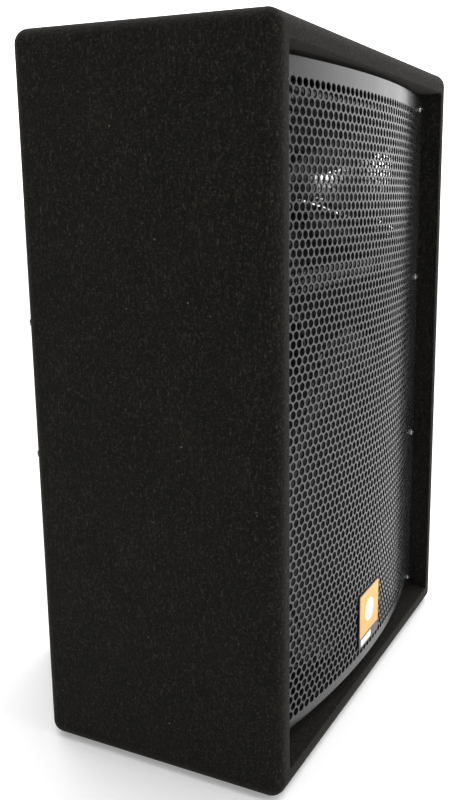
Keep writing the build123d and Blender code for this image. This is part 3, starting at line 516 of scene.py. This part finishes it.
FINISHES = {
    "carpet": carpet,
    "plywood": wood,
    "painted_board": partial(
        plain, colour=(0.003, 0.003, 0.003), rough=0.8, size=0.03, varies=0.3, grain=0.0012,
        dent=0.0001, dust=0.03, Specular_IOR_Level=0.2
    ),
    "grille_steel": grille_paint,
    "black_screw": partial(
        plain, colour=(0.20, 0.20, 0.20), rough=0.2, size=0.002, varies=0.35, grain=0.0003,
        dent=0.00001, Metallic=0.9
    ),
    "badge_black": partial(badge_plastic, colour=(0.03, 0.03, 0.03), rough=0.35),
    "badge_orange": partial(badge_plastic, colour=(0.95, 0.41, 0.07), rough=0.34),
    "badge_pale": partial(badge_plastic, colour=(0.88, 0.86, 0.80), rough=0.30),
    "black_steel": partial(
        plain, colour=(0.010, 0.010, 0.011), rough=0.42, size=0.02, varies=0.2, grain=0.0009,
        dent=0.00004, dust=0.05
    ),
    "gasket": partial(
        plain, colour=(0.05, 0.047, 0.042), rough=0.92, size=0.008, varies=0.3, grain=0.0012,
        dent=0.0003, dust=0.1
    ),
    "bare_steel": partial(
        plain, colour=(0.48, 0.47, 0.45), rough=0.34, size=0.012, varies=0.2, grain=0.0004,
        dent=0.00003, dust=0.05, Metallic=1.0
    ),
    "ferrite": partial(
        plain, colour=(0.055, 0.054, 0.056), rough=0.55, size=0.006, varies=0.3, grain=0.0008,
        dent=0.00012, dust=0.05
    ),
    "coil_former": partial(
        plain, colour=(0.62, 0.45, 0.20), rough=0.35, size=0.006, varies=0.15, grain=0.0005,
        dent=0.00002
    ),
    "copper": wound_wire,
    "cone_paper": cone_paper,
    "surround_cloth": partial(cloth, colour=(0.022, 0.022, 0.022), pitch=0.0006, rough=0.6),
    "spider_cloth": partial(cloth, colour=(0.42, 0.25, 0.10), pitch=0.0007),
    "brass_terminal": partial(
        plain, colour=(0.62, 0.42, 0.13), rough=0.3, size=0.006, varies=0.2, grain=0.0004,
        dent=0.00002, Metallic=1.0
    ),
    "horn_plastic": partial(
        plain, colour=(0.005, 0.005, 0.0055), rough=0.10, size=0.03, varies=0.1, grain=0.004,
        dent=0.00001, dust=0.03
    ),
    "diaphragm_metal": partial(
        plain, colour=(0.70, 0.70, 0.68), rough=0.3, size=0.01, varies=0.1, grain=0.0006,
        dent=0.00003, Metallic=1.0
    ),
    "black_plastic": partial(
        plain, colour=(0.02, 0.02, 0.02), rough=0.45, size=0.02, varies=0.25, grain=0.0009,
        dent=0.00008, dust=0.1
    ),
    "socket_plastic": partial(
        plain, colour=(0.025, 0.025, 0.027), rough=0.35, size=0.01, varies=0.2, grain=0.0007,
        dent=0.00004, dust=0.05
    ),
    "wadding": partial(felt, colour=(0.62, 0.60, 0.54)),
    "circuit_board": circuit,
    "capacitor_film": partial(
        plain, colour=(0.62, 0.42, 0.08), rough=0.3, size=0.01, varies=0.12, grain=0.0008,
        dent=0.00004, dust=0.04
    ),
    "resistor_ceramic": partial(
        plain, colour=(0.66, 0.63, 0.56), rough=0.7, size=0.006, varies=0.12, grain=0.0006,
        dent=0.00008
    ),
    "lead_jacket": partial(rubber, colour=(0.02, 0.02, 0.02), bloom=0.15),
    "handle_rubber": rubber,
    "foot_rubber": partial(rubber, colour=(0.02, 0.02, 0.02), bloom=0.4),
}
made_materials = {}


def material(slot):
    """The material of a slot, made when it is first asked for."""
    if slot not in made_materials:
        made_materials[slot] = FINISHES[slot](slot + "_finish")
    return made_materials[slot]


# ---------------------------------------------------------------- carpet skin
MOUTH_R = 0.0012         # rounding of the carpet where it turns into the recess
RECESS_CORNER_R = 0.003
CLEAR = 0.0003           # gap between the carpet and a fitting let into it
CUP_CORNER_R = 0.016
SOCKET_R = 0.040
DISH_W, DISH_L, DISH_CORNER_R = 0.102, 0.154, 0.014
INTO, PAST = 0.004, 0.002    # how far a cutter reaches into the cabinet and out past it


def side_line(number, inset):
    """A point and the direction of one side of the plan, moved inwards."""
    start = CORNERS[number]
    along = (CORNERS[(number + 1) % 5] - start).normalized()
    return start + Vector((-along.y, along.x)) * inset, along


def corner_centre(number):
    """The middle of the rounding at one corner of the plan."""
    p, d = side_line(number - 1, EDGE_R)
    q, e = side_line(number, EDGE_R)
    t = ((q.x - p.x) * e.y - (q.y - p.y) * e.x) / (d.x * e.y - d.y * e.x)
    return p + d * t


def plan(inset, step=0.014, arc=7):
    """The rounded plan outline, moved inwards, with its straight runs divided."""
    points = []
    for i in range(5):
        before = side_line(i - 1, 0)[1]
        after = side_line(i, 0)[1]
        start = math.atan2(-before.x, before.y)
        turn = abs(before.angle_signed(after))
        c = corner_centre(i)
        r = max(EDGE_R - inset, 0)
        for s in range(arc + 1):
            a = start + turn * s / arc
            points.append(Vector((c.x + r * math.cos(a), c.y + r * math.sin(a))))
        run = (corner_centre((i + 1) % 5) - c).length
        out = Vector((after.y, -after.x)) * r
        pieces = max(2, round(run / step))
        for s in range(1, pieces):
            points.append(c + after * (run * s / pieces) + out)
    return points


def carpet_form():
    """The cabinet's whole outer form, closed, with every edge rounded."""
    curve = [math.pi / 2 * i / 7 for i in range(8)]
    levels = [(EDGE_R * (1 - math.sin(a)), EDGE_R * (1 - math.cos(a))) for a in curve]
    rises = 40
    run = HEIGHT - 2 * EDGE_R
    straight = [(0, EDGE_R + run * i / rises) for i in range(1, rises)]
    levels += straight + [(inset, HEIGHT - z) for inset, z in reversed(levels)]
    rings = [[Vector((p.x, p.y, z)) for p in plan(inset)] for inset, z in levels]
    return loose("carpet_skin", *loft(rings))


def recess_ring(out, y):
    """The recess's outline at one depth, moved outwards."""
    wide, tall = 2 * RECESS_HALF_X, HEIGHT - 2 * RIM
    outline = rounded(wide + 2 * out, tall + 2 * out, RECESS_CORNER_R + out)
    return [Vector((x, y, HEIGHT / 2 + z)) for x, z in outline]


def recess_cutter():
    """The space in front of the baffle board, flared where the carpet turns in."""
    steps = [(0, BOARD_Y - 0.0002), (0, LOW.y + MOUTH_R)]
    steps += [
        (MOUTH_R * (1 - math.cos(a)), LOW.y + MOUTH_R * (1 - math.sin(a)))
        for a in (math.pi / 2 * i / 5 for i in range(1, 6))
    ]
    steps.append((MOUTH_R, LOW.y - PAST))
    return loose("recess_cutter", *loft([recess_ring(*step) for step in steps]))


def opening_cutters():
    """Openings in the carpet for the baffle board, the handle, the pole socket and the input dish."""
    board = [recess_ring(-0.0001, BOARD_Y + 0.006), recess_ring(-0.0001, BOARD_Y - 0.003)]

    cup = middle("handle_cup")
    cup_low, cup_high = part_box("handle_cup")
    size = cup_high - cup_low
    outline = rounded(size.x + 2 * CLEAR, size.y + 2 * CLEAR, CUP_CORNER_R + CLEAR)
    handle = [
        [Vector((cup.x + x, cup.y + y, z)) for x, y in outline]
        for z in (HEIGHT - INTO, HEIGHT + PAST)
    ]

    pole = middle("pole_socket")
    r = SOCKET_R + CLEAR
    turns = [math.pi / 32 * i for i in range(64)]
    socket = [
        [Vector((pole.x + r * math.cos(a), pole.y + r * math.sin(a), z)) for a in turns]
        for z in (-PAST, INTO)
    ]

    _, along = side_line(BACK, 0)
    out = Vector((along.y, -along.x))
    back_middle = (CORNERS[BACK] + CORNERS[BACK + 1]) / 2
    dish_z = middle("input_dish").z
    outline = rounded(DISH_W + 2 * CLEAR, DISH_L + 2 * CLEAR, DISH_CORNER_R + CLEAR)
    dish = [
        [Vector((*(back_middle + along * x + out * reach), dish_z + z)) for x, z in outline]
        for reach in (-INTO, PAST)
    ]
    return [loose("opening_cutter", *loft(rings)) for rings in (board, handle, socket, dish)]


def carpet_skin():
    """One skin of carpet over every panel, turned into the recess, open where fittings sit."""
    skin = cut(carpet_form(), [recess_cutter()])
    shell = skin.modifiers.new("thickness", "SOLIDIFY")
    shell.thickness = CARPET_T - 0.0001
    shell.offset = -1
    shell.use_even_offset = True
    baked(skin)
    cut(skin, opening_cutters())
    smooth(skin.data, 40)
    even = skin.modifiers.new("even shading", "WEIGHTED_NORMAL")
    even.keep_sharp = True
    baked(skin)
    dress(skin, "carpet", ("carpet_wrap", "carpet_end_top", "carpet_end_bottom"))


# ---------------------------------------------------------------- grille
PITCH = 0.0079375        # staggered hole centres
HOLE_R = 0.0034          # leaves webs a little over 1 mm wide
ROW = PITCH * math.sqrt(3) / 2
HALF_SIDE = PITCH / (2 * math.sqrt(3))   # half a side of the six-sided cell round each hole
HOLE_ROWS = 74
HOLES_ACROSS = 40        # and one more in every other row
BOW_HALF = grille_high.x - FLANGE_W
BOW = FLANGE_Y - grille_low.y
BOW_R = (BOW_HALF**2 + BOW**2) / (2 * BOW)
ARC_HALF = BOW_R * math.asin(BOW_HALF / BOW_R)


def on_grille(u, z, depth):
    """A point of the grille from its place along the sheet, its height and its depth in the sheet."""
    if abs(u) > ARC_HALF:
        over = abs(u) - ARC_HALF
        return Vector((math.copysign(BOW_HALF + over, u), FLANGE_Y + depth, z))
    a = u / BOW_R
    r = BOW_R - depth
    return Vector((r * math.sin(a), grille_low.y + BOW_R - r * math.cos(a), z))


def facing(points, sign):
    """A face's points, turned over on the negative side."""
    return points if sign > 0 else points[::-1]


class Sheet:
    """The grille's mesh in the making. Points are given as places along the sheet and heights."""

    def __init__(self):
        self.verts = []
        self.faces = []
        self.index = {}

    def vert(self, u, z, depth):
        key = (round(u * 1e7), round(z * 1e7), depth > 0)
        if key not in self.index:
            self.index[key] = len(self.verts)
            self.verts.append(on_grille(u, z, depth))
        return self.index[key]

    def both(self, points):
        """One face on the front and its mirror on the back."""
        self.faces.append([self.vert(u, z, 0) for u, z in points])
        self.faces.append([self.vert(u, z, GRILLE_T) for u, z in reversed(points)])

    def wall(self, points):
        """The cut edge through the sheet along a line of points."""
        for (u, z), (v, w) in zip(points, points[1:]):
            corners = ((u, z, 0), (u, z, GRILLE_T), (v, w, GRILLE_T), (v, w, 0))
            self.faces.append([self.vert(*corner) for corner in corners])

    def hole(self, u, z):
        """One hole in its six-sided cell."""
        reach = 2 * HALF_SIDE
        corners = [
            (u + reach * math.cos(a), z + reach * math.sin(a))
            for a in (math.pi / 6 + math.pi / 3 * k for k in range(6))
        ]
        ring = [
            (u + HOLE_R * math.cos(a), z + HOLE_R * math.sin(a))
            for a in (math.pi / 6 * k for k in range(12))
        ]
        for k in range(6):
            arc = [ring[(2 * k + 3) % 12], ring[(2 * k + 2) % 12], ring[2 * k + 1]]
            self.both([corners[k], corners[(k + 1) % 6]] + arc)
        self.wall(ring + ring[:1])

    def side(self, line, columns, sign):
        """The plain margin and the flange beyond the outer holes of one side."""
        edge = sign * columns[0]
        for (u, z), (v, w) in zip(line, line[1:]):
            self.both(facing([(u, z), (edge, z), (edge, w), (v, w)], sign))
        heights = [grille_low.z] + [z for _, z in line] + [grille_high.z]
        for a, b in zip(columns, columns[1:]):
            for z, w in zip(heights, heights[1:]):
                quad = [(sign * a, z), (sign * b, z), (sign * b, w), (sign * a, w)]
                self.both(facing(quad, sign))
        self.wall(facing([(sign * columns[-1], z) for z in heights], sign))

    def end(self, line, columns, z_edge, sign):
        """The plain margin beyond the last row of holes at one end."""
        full = [(-columns[0], line[0][1])] + line + [(columns[0], line[-1][1])]
        for (u, z), (v, w) in zip(full, full[1:]):
            self.both(facing([(u, z), (v, w), (v, z_edge), (u, z_edge)], sign))
        across = [-c for c in reversed(columns)] + [u for u, _ in line] + columns
        self.wall(facing([(u, z_edge) for u in across], -sign))


def end_line(row, sign):
    """The zigzag along the outer corners of the cells of the first or last row."""
    us, z = row
    line = []
    for u in us:
        line += [(u - PITCH / 2, z + sign * HALF_SIDE), (u, z + sign * 2 * HALF_SIDE)]
    return line + [(us[-1] + PITCH / 2, z + sign * HALF_SIDE)]


def perforated_grille():
    """The bowed sheet: staggered rows of round holes, plain margins and a flange down each side."""
    sheet = Sheet()
    rows = []
    for j in range(HOLE_ROWS):
        count = HOLES_ACROSS + j % 2
        z = HEIGHT / 2 + (j - (HOLE_ROWS - 1) / 2) * ROW
        rows.append(([(i - (count - 1) / 2) * PITCH for i in range(count)], z))
    for us, z in rows:
        for u in us:
            sheet.hole(u, z)

    right = []
    for us, z in rows:
        right += [(us[-1] + PITCH / 2, z - HALF_SIDE), (us[-1] + PITCH / 2, z + HALF_SIDE)]
    left = [(-u, z) for u, z in right]
    edge = max(u for u, _ in right) + 0.0006
    bend = [u for u in (ARC_HALF - 0.0022, ARC_HALF, ARC_HALF + 0.0012) if u > edge + 0.0004]
    columns = [edge] + bend + [ARC_HALF + 0.008, ARC_HALF + FLANGE_W]
    sheet.side(right, columns, 1)
    sheet.side(left, columns, -1)
    sheet.end(end_line(rows[-1], 1), columns, grille_high.z, 1)
    sheet.end(end_line(rows[0], -1), columns, grille_low.z, -1)
    piece("perforated_grille", sheet.verts, sheet.faces, "grille_steel", ("grille",), angle=40)


# ---------------------------------------------------------------- badge
PEG_X, PEG_R, PEG_LENGTH = 0.018, 0.0014, 0.006
DISC_R = 0.0112
STRIP_W, STRIP_H, STRIP_SHIFT = 0.026, 0.0065, -0.008


def badge():
    """A plain rectangular badge: black backing, orange panel, pale disc and pale strip."""
    plate_low, plate_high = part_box("badge_plate")
    face_low, face_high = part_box("badge_face")
    plate, face = middle("badge_plate"), middle("badge_face")
    back_y = face_high.y + 0.0006

    def on_front(middle_x, middle_z, base_y):
        return lambda x, y, out: Vector((middle_x + x, base_y - out, middle_z + y))

    backing = [
        slab(
            plate_high.x - plate_low.x,
            plate_high.z - plate_low.z,
            radius=0.0016,
            thickness=0.0007,
            bevel=0.00025,
            place=on_front(plate.x, plate.z, back_y),
        )
    ]
    peg = [(PEG_R, 0.0), (PEG_R, PEG_LENGTH), (0.0, PEG_LENGTH), (0.0, 0.0)]
    for x in (-PEG_X, PEG_X):
        backing.append(lathe(peg, Vector((plate.x + x, back_y, plate.z)), INWARD, ACROSS, 16))
    piece("badge_backing", *join(backing), "badge_black", ("badge_plate",))

    panel = slab(
        face_high.x - face_low.x,
        face_high.z - face_low.z,
        radius=0.0014,
        thickness=0.0005,
        bevel=0.00035,
        place=on_front(face.x, face.z, face_high.y),
        rim=0.0014,
        sunk=0.00015,
    )
    piece("badge_panel", *panel, "badge_orange", ("badge_face",))

    profile = [(0, 0), (DISC_R, 0), (DISC_R, -0.00012), (DISC_R - 0.0004, -0.00022), (0, -0.00026)]
    disc = lathe(profile, Vector((face.x, face_high.y - 0.00035, face.z)), INWARD, ACROSS, 48)
    strip = slab(
        STRIP_W,
        STRIP_H,
        radius=0.001,
        thickness=0.0004,
        bevel=0.0002,
        place=on_front(plate.x + STRIP_SHIFT, plate_low.z + 0.0055, face_high.y),
    )
    piece("badge_marks", *join([disc, strip]), "badge_pale", ("badge_inlays",))


# ---------------------------------------------------------------- screws
def cross_screw(name, radius, height):
    """A domed screw head with a cross recess, at the origin, facing -Y."""
    rise = [(radius, 0.0), (radius, height * 0.18)]
    rise += [
        (radius * math.cos(a), height * 0.18 + height * 0.82 * math.sin(a))
        for a in (math.pi / 2 * i / 8 for i in range(1, 8))
    ]
    profile = [(0, 0)] + rise + [(0, height)]
    head = loose(name, *lathe(profile, Vector(), -INWARD, ACROSS, 40))
    slots = []
    for turn in (math.pi / 5, math.pi / 5 + math.pi / 2):
        along = Vector((math.cos(turn), 0, math.sin(turn)))
        side = Vector((-along.z, 0, along.x))
        rings = []
        for long, wide, y in ((0.30, 0.10, -height * 0.30), (0.62, 0.20, -height * 1.2)):
            rings.append(
                [
                    along * (a * radius * long) + side * (b * radius * wide) + Vector((0, y, 0))
                    for a, b in ((1, 1), (-1, 1), (-1, -1), (1, -1))
                ]
            )
        slots.append(loose("cross_cutter", *loft(rings)))
    return cut(head, slots)


def grille_screws():
    """The eight screws down the grille's flanges, each turned its own way."""
    lo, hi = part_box("grille_screws")
    edge = 0.0036        # from the edge of the screws' box to a screw's axis
    head = cross_screw("one_screw", radius=0.0037, height=0.0023)
    verts = [v.co.copy() for v in head.data.vertices]
    faces = [tuple(p.vertices) for p in head.data.polygons]
    shank = [(0, 0.0), (0.0018, 0.0), (0.0018, 0.0125), (0.0006, 0.0145), (0, 0.0148)]
    parts = []
    for i in range(4):
        z = lo.z + edge + (hi.z - lo.z - 2 * edge) * i / 3
        for x in (lo.x + edge, hi.x - edge):
            turn = Matrix.Rotation(0.9 * i + 7 * x, 3, "Y")
            at = Vector((x, FLANGE_Y, z))
            parts.append(([turn @ v + at for v in verts], faces))
            parts.append(lathe(shank, at, INWARD, ACROSS, 16))
    bpy.data.objects.remove(head)
    piece("grille_screw_heads", *join(parts), "black_screw", ("grille_screws",), angle=25)


# ---------------------------------------------------------------- woofer
# Radii are from the woofer's axis, depths from the front of the baffle board.
CONE_R, CONE_NECK_R = 0.111, 0.0258
CONE_START, CONE_DROP, CONE_FLARE = 0.006, 0.051, 0.0040
LIP_R = 0.1168           # the cone's outer lip, under the surround
CAP_R, CAP_RISE, CAP_FRONT = 0.038, 0.0136, 0.036
ROLL_R, ROLL_HALF, ROLL_RISE = 0.1236, 0.0064, 0.0062
ROLL_DEPTH = 0.0052      # of the surround's flat edges
PLEAT_IN, PLEAT_W = 0.0275, 0.0460


def woofer_origin():
    """The woofer's axis where it meets the front of the baffle board."""
    centre = middle("woofer_cone")
    return Vector((centre.x, BOARD_Y, centre.z))


def thick(line, thickness):
    """A closed profile of even thickness along a line of (radius, depth)."""
    return line + [(r, d + thickness) for r, d in reversed(line)]


def radial_blend(obj):
    """Works obj's placement into its mesh, so that it sits in the frame's coordinates."""
    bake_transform(obj)


def cone(origin):
    """The paper cone with its lip and moulded rings, and the dust cap over its neck."""
    line = [(LIP_R, CONE_START)]
    for i in range(49):
        t = i / 48
        bow = CONE_START + CONE_DROP * t + CONE_FLARE * math.sin(math.pi * t)
        ring = 0.00035 * math.exp(-(((t * 5) % 1 - 0.5) / 0.12) ** 2)
        line.append((CONE_R - (CONE_R - CONE_NECK_R) * t, bow - ring))
    skin = lathe(thick(line, 0.0012), origin, INWARD, ACROSS, 128)
    piece("cone_skin", *skin, "cone_paper", ("woofer_cone",), "woofer_moving")

    r = (CAP_R**2 + CAP_RISE**2) / (2 * CAP_RISE)
    line = [
        (r * math.sin(a), CAP_FRONT + r - r * math.cos(a))
        for a in (math.asin(CAP_R / r) * i / 24 for i in range(25))
    ]
    cap = lathe(thick(line, 0.0008), origin, INWARD, ACROSS, 96)
    piece("dust_cap_skin", *cap, "cone_paper", ("dust_cap",), "woofer_moving")


def surround(origin):
    """The half-roll of cloth between the cone's lip and the frame."""
    line = [(0.1115, ROLL_DEPTH), (LIP_R, ROLL_DEPTH)]
    line += [
        (ROLL_R - ROLL_HALF * math.cos(a), ROLL_DEPTH - ROLL_RISE * math.sin(a))
        for a in (math.pi * i / 14 for i in range(15))
    ]
    line += [(0.1310, ROLL_DEPTH), (0.1358, ROLL_DEPTH)]
    roll = lathe(thick(line, 0.0007), origin, INWARD, ACROSS, 128)
    made = piece("surround_roll", *roll, "surround_cloth", ("woofer_surround",), None)
    radial_blend(made)


def spider(origin):
    """The pleated disc that centres the coil."""
    depth = middle("woofer_spider").y - BOARD_Y
    line = [(0.0262, depth)]
    line += [
        (PLEAT_IN + PLEAT_W * i / 88, depth + 0.00085 * math.sin(math.pi * i / 8)) for i in range(89)
    ]
    line += [(0.0815, depth)]
    disc = lathe(thick(line, 0.0006), origin, INWARD, ACROSS, 96)
    made = piece("spider_disc", *disc, "spider_cloth", ("woofer_spider",), None)
    radial_blend(made)


def gasket(origin):
    """The soft ring over the surround's outer edge."""
    lo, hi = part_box("woofer_gasket")
    near, far = lo.y - BOARD_Y, hi.y - BOARD_Y
    outer = (hi.x - lo.x) / 2
    inner = outer - 0.0055
    profile = [
        (outer, far),
        (outer, near + 0.0012),
        (outer - 0.0008, near + 0.0003),
        (outer - 0.0022, near),
        (inner + 0.0022, near),
        (inner + 0.0008, near + 0.0003),
        (inner, near + 0.0012),
        (inner, far),
    ]
    ring = lathe(profile, origin, INWARD, ACROSS, 128)
    piece("gasket_ring", *ring, "gasket", ("woofer_gasket",))


def woofer():
    """The woofer's paper and cloth parts, from the front."""
    origin = woofer_origin()
    cone(origin)
    surround(origin)
    spider(origin)
    gasket(origin)


# ---------------------------------------------------------------- fittings
def handle_bar():
    """The ribbed grip across the handle's cup."""
    lo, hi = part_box("handle_bar")
    r = (hi.z - lo.z) / 2
    length = hi.x - lo.x
    plain_end = 0.010
    steps = 34 * 4       # four to each rib
    profile = [(0, 0), (r * 0.8, 0)]
    for i in range(steps + 1):
        x = plain_end + (length - 2 * plain_end) * (i / steps)
        profile.append((r * (0.965 + 0.035 * math.cos(math.pi * i / 2)), x))
    profile += [(r * 0.8, length), (0, length)]
    origin = Vector((lo.x, (lo.y + hi.y) / 2, (lo.z + hi.z) / 2))
    grip = lathe(profile, origin, ACROSS, INWARD, 40)
    piece("handle_grip", *grip, "handle_rubber", ("handle_bar",), angle=60)


def rubber_feet():
    """Four turned rubber feet with a rounded tread and a sunk screw."""
    _, along = side_line(BASE, 0)
    out = Vector((along.y, -along.x, 0))
    lo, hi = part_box("rubber_feet")
    base_middle = (CORNERS[BASE] + CORNERS[BASE + 1]) / 2
    foot_r, apart = 0.018, 0.300
    profile = [
        (0.0021, 0.0001),
        (0.0179, 0.0001),
        (0.0172, 0.0050),
        (0.0168, 0.0078),
        (0.0160, 0.0094),
        (0.0145, 0.0099),
        (0.0112, 0.0099),
        (0.0108, 0.0093),
        (0.0098, 0.0093),
        (0.0094, 0.0099),
        (0.0066, 0.0099),
        (0.0061, 0.0094),
        (0.0060, 0.0041),
        (0.0021, 0.0041),
    ]
    feet = []
    for x in (-apart / 2, apart / 2):
        for z in (lo.z + foot_r, hi.z - foot_r):
            spot = base_middle + along * x
            feet.append(lathe(profile, Vector((spot.x, spot.y, z)), out, UP, 48))
    piece("foot_treads", *join(feet), "foot_rubber", ("rubber_feet",))


def lumpy(node, slot, voxel, swell, size):
    """A soft filling grown from its plain CAD solid: remeshed, pulled in a little and made uneven."""
    source = frame["nodes"][node]
    obj = bpy.data.objects.new(node + "_batts", source.data.copy())
    bpy.context.scene.collection.objects.link(obj)
    grid = obj.modifiers.new("grid", "REMESH")
    grid.mode = "VOXEL"
    grid.voxel_size = voxel
    ease = obj.modifiers.new("ease", "SMOOTH")
    ease.iterations = 3
    baked(obj)
    for v, normal in [(v, v.normal.copy()) for v in obj.data.vertices]:
        v.co += normal * (swell * (noise.fractal(v.co / size, 0.7, 2.0, 4) - 0.9))
    smooth(obj.data, 80)
    dress(obj, slot, (node,))


# ---------------------------------------------------------------- carried-over CAD nodes
def finish_cad_nodes():
    """Every CAD node takes its slot's procedural material."""
    for part in frame["record"]["subparts"]:
        obj = frame["nodes"][part["node"]]
        obj.data.materials.clear()
        obj.data.materials.append(material(part["material_slot"]))


# ---------------------------------------------------------------- floor, light and camera
FLOOR_SIZE, FLOOR_PARTS = 30.0, 12
BRIGHT_SIDE = Vector((0.80, 0.33, 0.50))
LIGHTS = (               # name, place, width, height, watts
    ("overhead", (0.3, -0.3, 2.4), 1.8, 1.8, 18),
    ("left_fill", (-2.2, -0.9, 1.0), 1.2, 1.2, 2.2),
    ("camera_side", (-1.5, -1.1, 0.95), 0.25, 0.25, 4),
    ("front_strip", (-0.475, -2.22, 0.555), 0.17, 0.05, 4),
    ("front_high", (-0.22, -2.13, 1.20), 0.5, 0.08, 9),
)


def floor():
    """A pale paper floor just under the cabinet."""
    n = FLOOR_PARTS
    verts = [
        (FLOOR_SIZE * (i / n - 0.5), FLOOR_SIZE * (j / n - 0.5), -0.0003)
        for i in range(n + 1)
        for j in range(n + 1)
    ]
    faces = []
    for i in range(n):
        for j in range(n):
            a = i * (n + 1) + j
            faces.append((a, a + n + 1, a + n + 2, a + 1))
    mesh = bpy.data.meshes.new("studio_floor")
    mesh.from_pydata(verts, [], faces)
    obj = bpy.data.objects.new("studio_floor", mesh)
    bpy.context.scene.collection.objects.link(obj)
    g = Graph("floor_paper")
    tone = g.ramp(g.noise(0.4, 3), (0.3, (0.86, 0.86, 0.86)), (0.7, (0.90, 0.90, 0.90)))
    paper = g.finish(tone, g.spread(g.noise(0.05, 3), 0.3, 0.7, 0.75, 0.9))
    g.link(tone, g.shader.inputs["Emission Color"])
    g.shader.inputs["Emission Strength"].default_value = 0.22
    mesh.materials.append(paper)


def surroundings():
    """A white surround, brighter towards one side."""
    world = bpy.data.worlds.new("studio")
    world.use_nodes = True
    tree = world.node_tree
    sky = tree.nodes["Background"]
    sky.inputs["Color"].default_value = (1, 1, 1, 1)
    towards = tree.nodes.new("ShaderNodeVectorMath")
    towards.operation = "DOT_PRODUCT"
    towards.inputs[1].default_value = BRIGHT_SIDE.normalized()
    tree.links.new(tree.nodes.new("ShaderNodeTexCoord").outputs["Generated"], towards.inputs[0])
    level = tree.nodes.new("ShaderNodeMapRange")
    level.interpolation_type = "SMOOTHSTEP"
    for name, value in (("From Min", 0.13), ("From Max", 0.65), ("To Min", 0.30), ("To Max", 2.2)):
        level.inputs[name].default_value = value
    tree.links.new(towards.outputs["Value"], level.inputs["Value"])
    tree.links.new(level.outputs["Result"], sky.inputs["Strength"])
    bpy.context.scene.world = world


def lights():
    """Soft square and strip lights, all turned to the cabinet's middle."""
    target = Vector((0, 0, HEIGHT / 2))
    for name, place, width, height, watts in LIGHTS:
        data = bpy.data.lights.new(name, "AREA")
        data.shape = "RECTANGLE"
        data.size = width
        data.size_y = height
        data.energy = watts
        lamp = bpy.data.objects.new(name, data)
        lamp.location = place
        lamp.rotation_euler = (target - Vector(place)).to_track_quat("-Z", "Y").to_euler()
        bpy.context.scene.collection.objects.link(lamp)


def camera():
    """A camera low over the deep side panel's front edge, looking slightly down."""
    data = bpy.data.cameras.new("view")
    data.lens = 39.82
    data.sensor_width = 36.0
    data.shift_x = -0.0955
    data.shift_y = -0.0343
    data.dof.use_dof = False
    data.clip_start = 0.01
    data.clip_end = 50
    obj = bpy.data.objects.new("view", data)
    turn = Matrix.Rotation(math.radians(-65.48), 4, "Z")
    tilt = Matrix.Rotation(math.radians(78.56), 4, "X")
    roll = Matrix.Rotation(math.radians(0.18), 4, "Z")
    obj.matrix_world = Matrix.Translation((-0.7402, -0.4302, 0.4633)) @ turn @ tilt @ roll
    bpy.context.scene.collection.objects.link(obj)
    bpy.context.scene.camera = obj


finish_cad_nodes()
carpet_skin()
perforated_grille()
badge()
grille_screws()
woofer()
handle_bar()
rubber_feet()
lumpy("wadding", slot="wadding", voxel=0.004, swell=0.0025, size=0.03)
floor()
surroundings()
lights()
camera()
bpy.context.scene.view_settings.view_transform = "Standard"

bpy.context.view_layer.update()
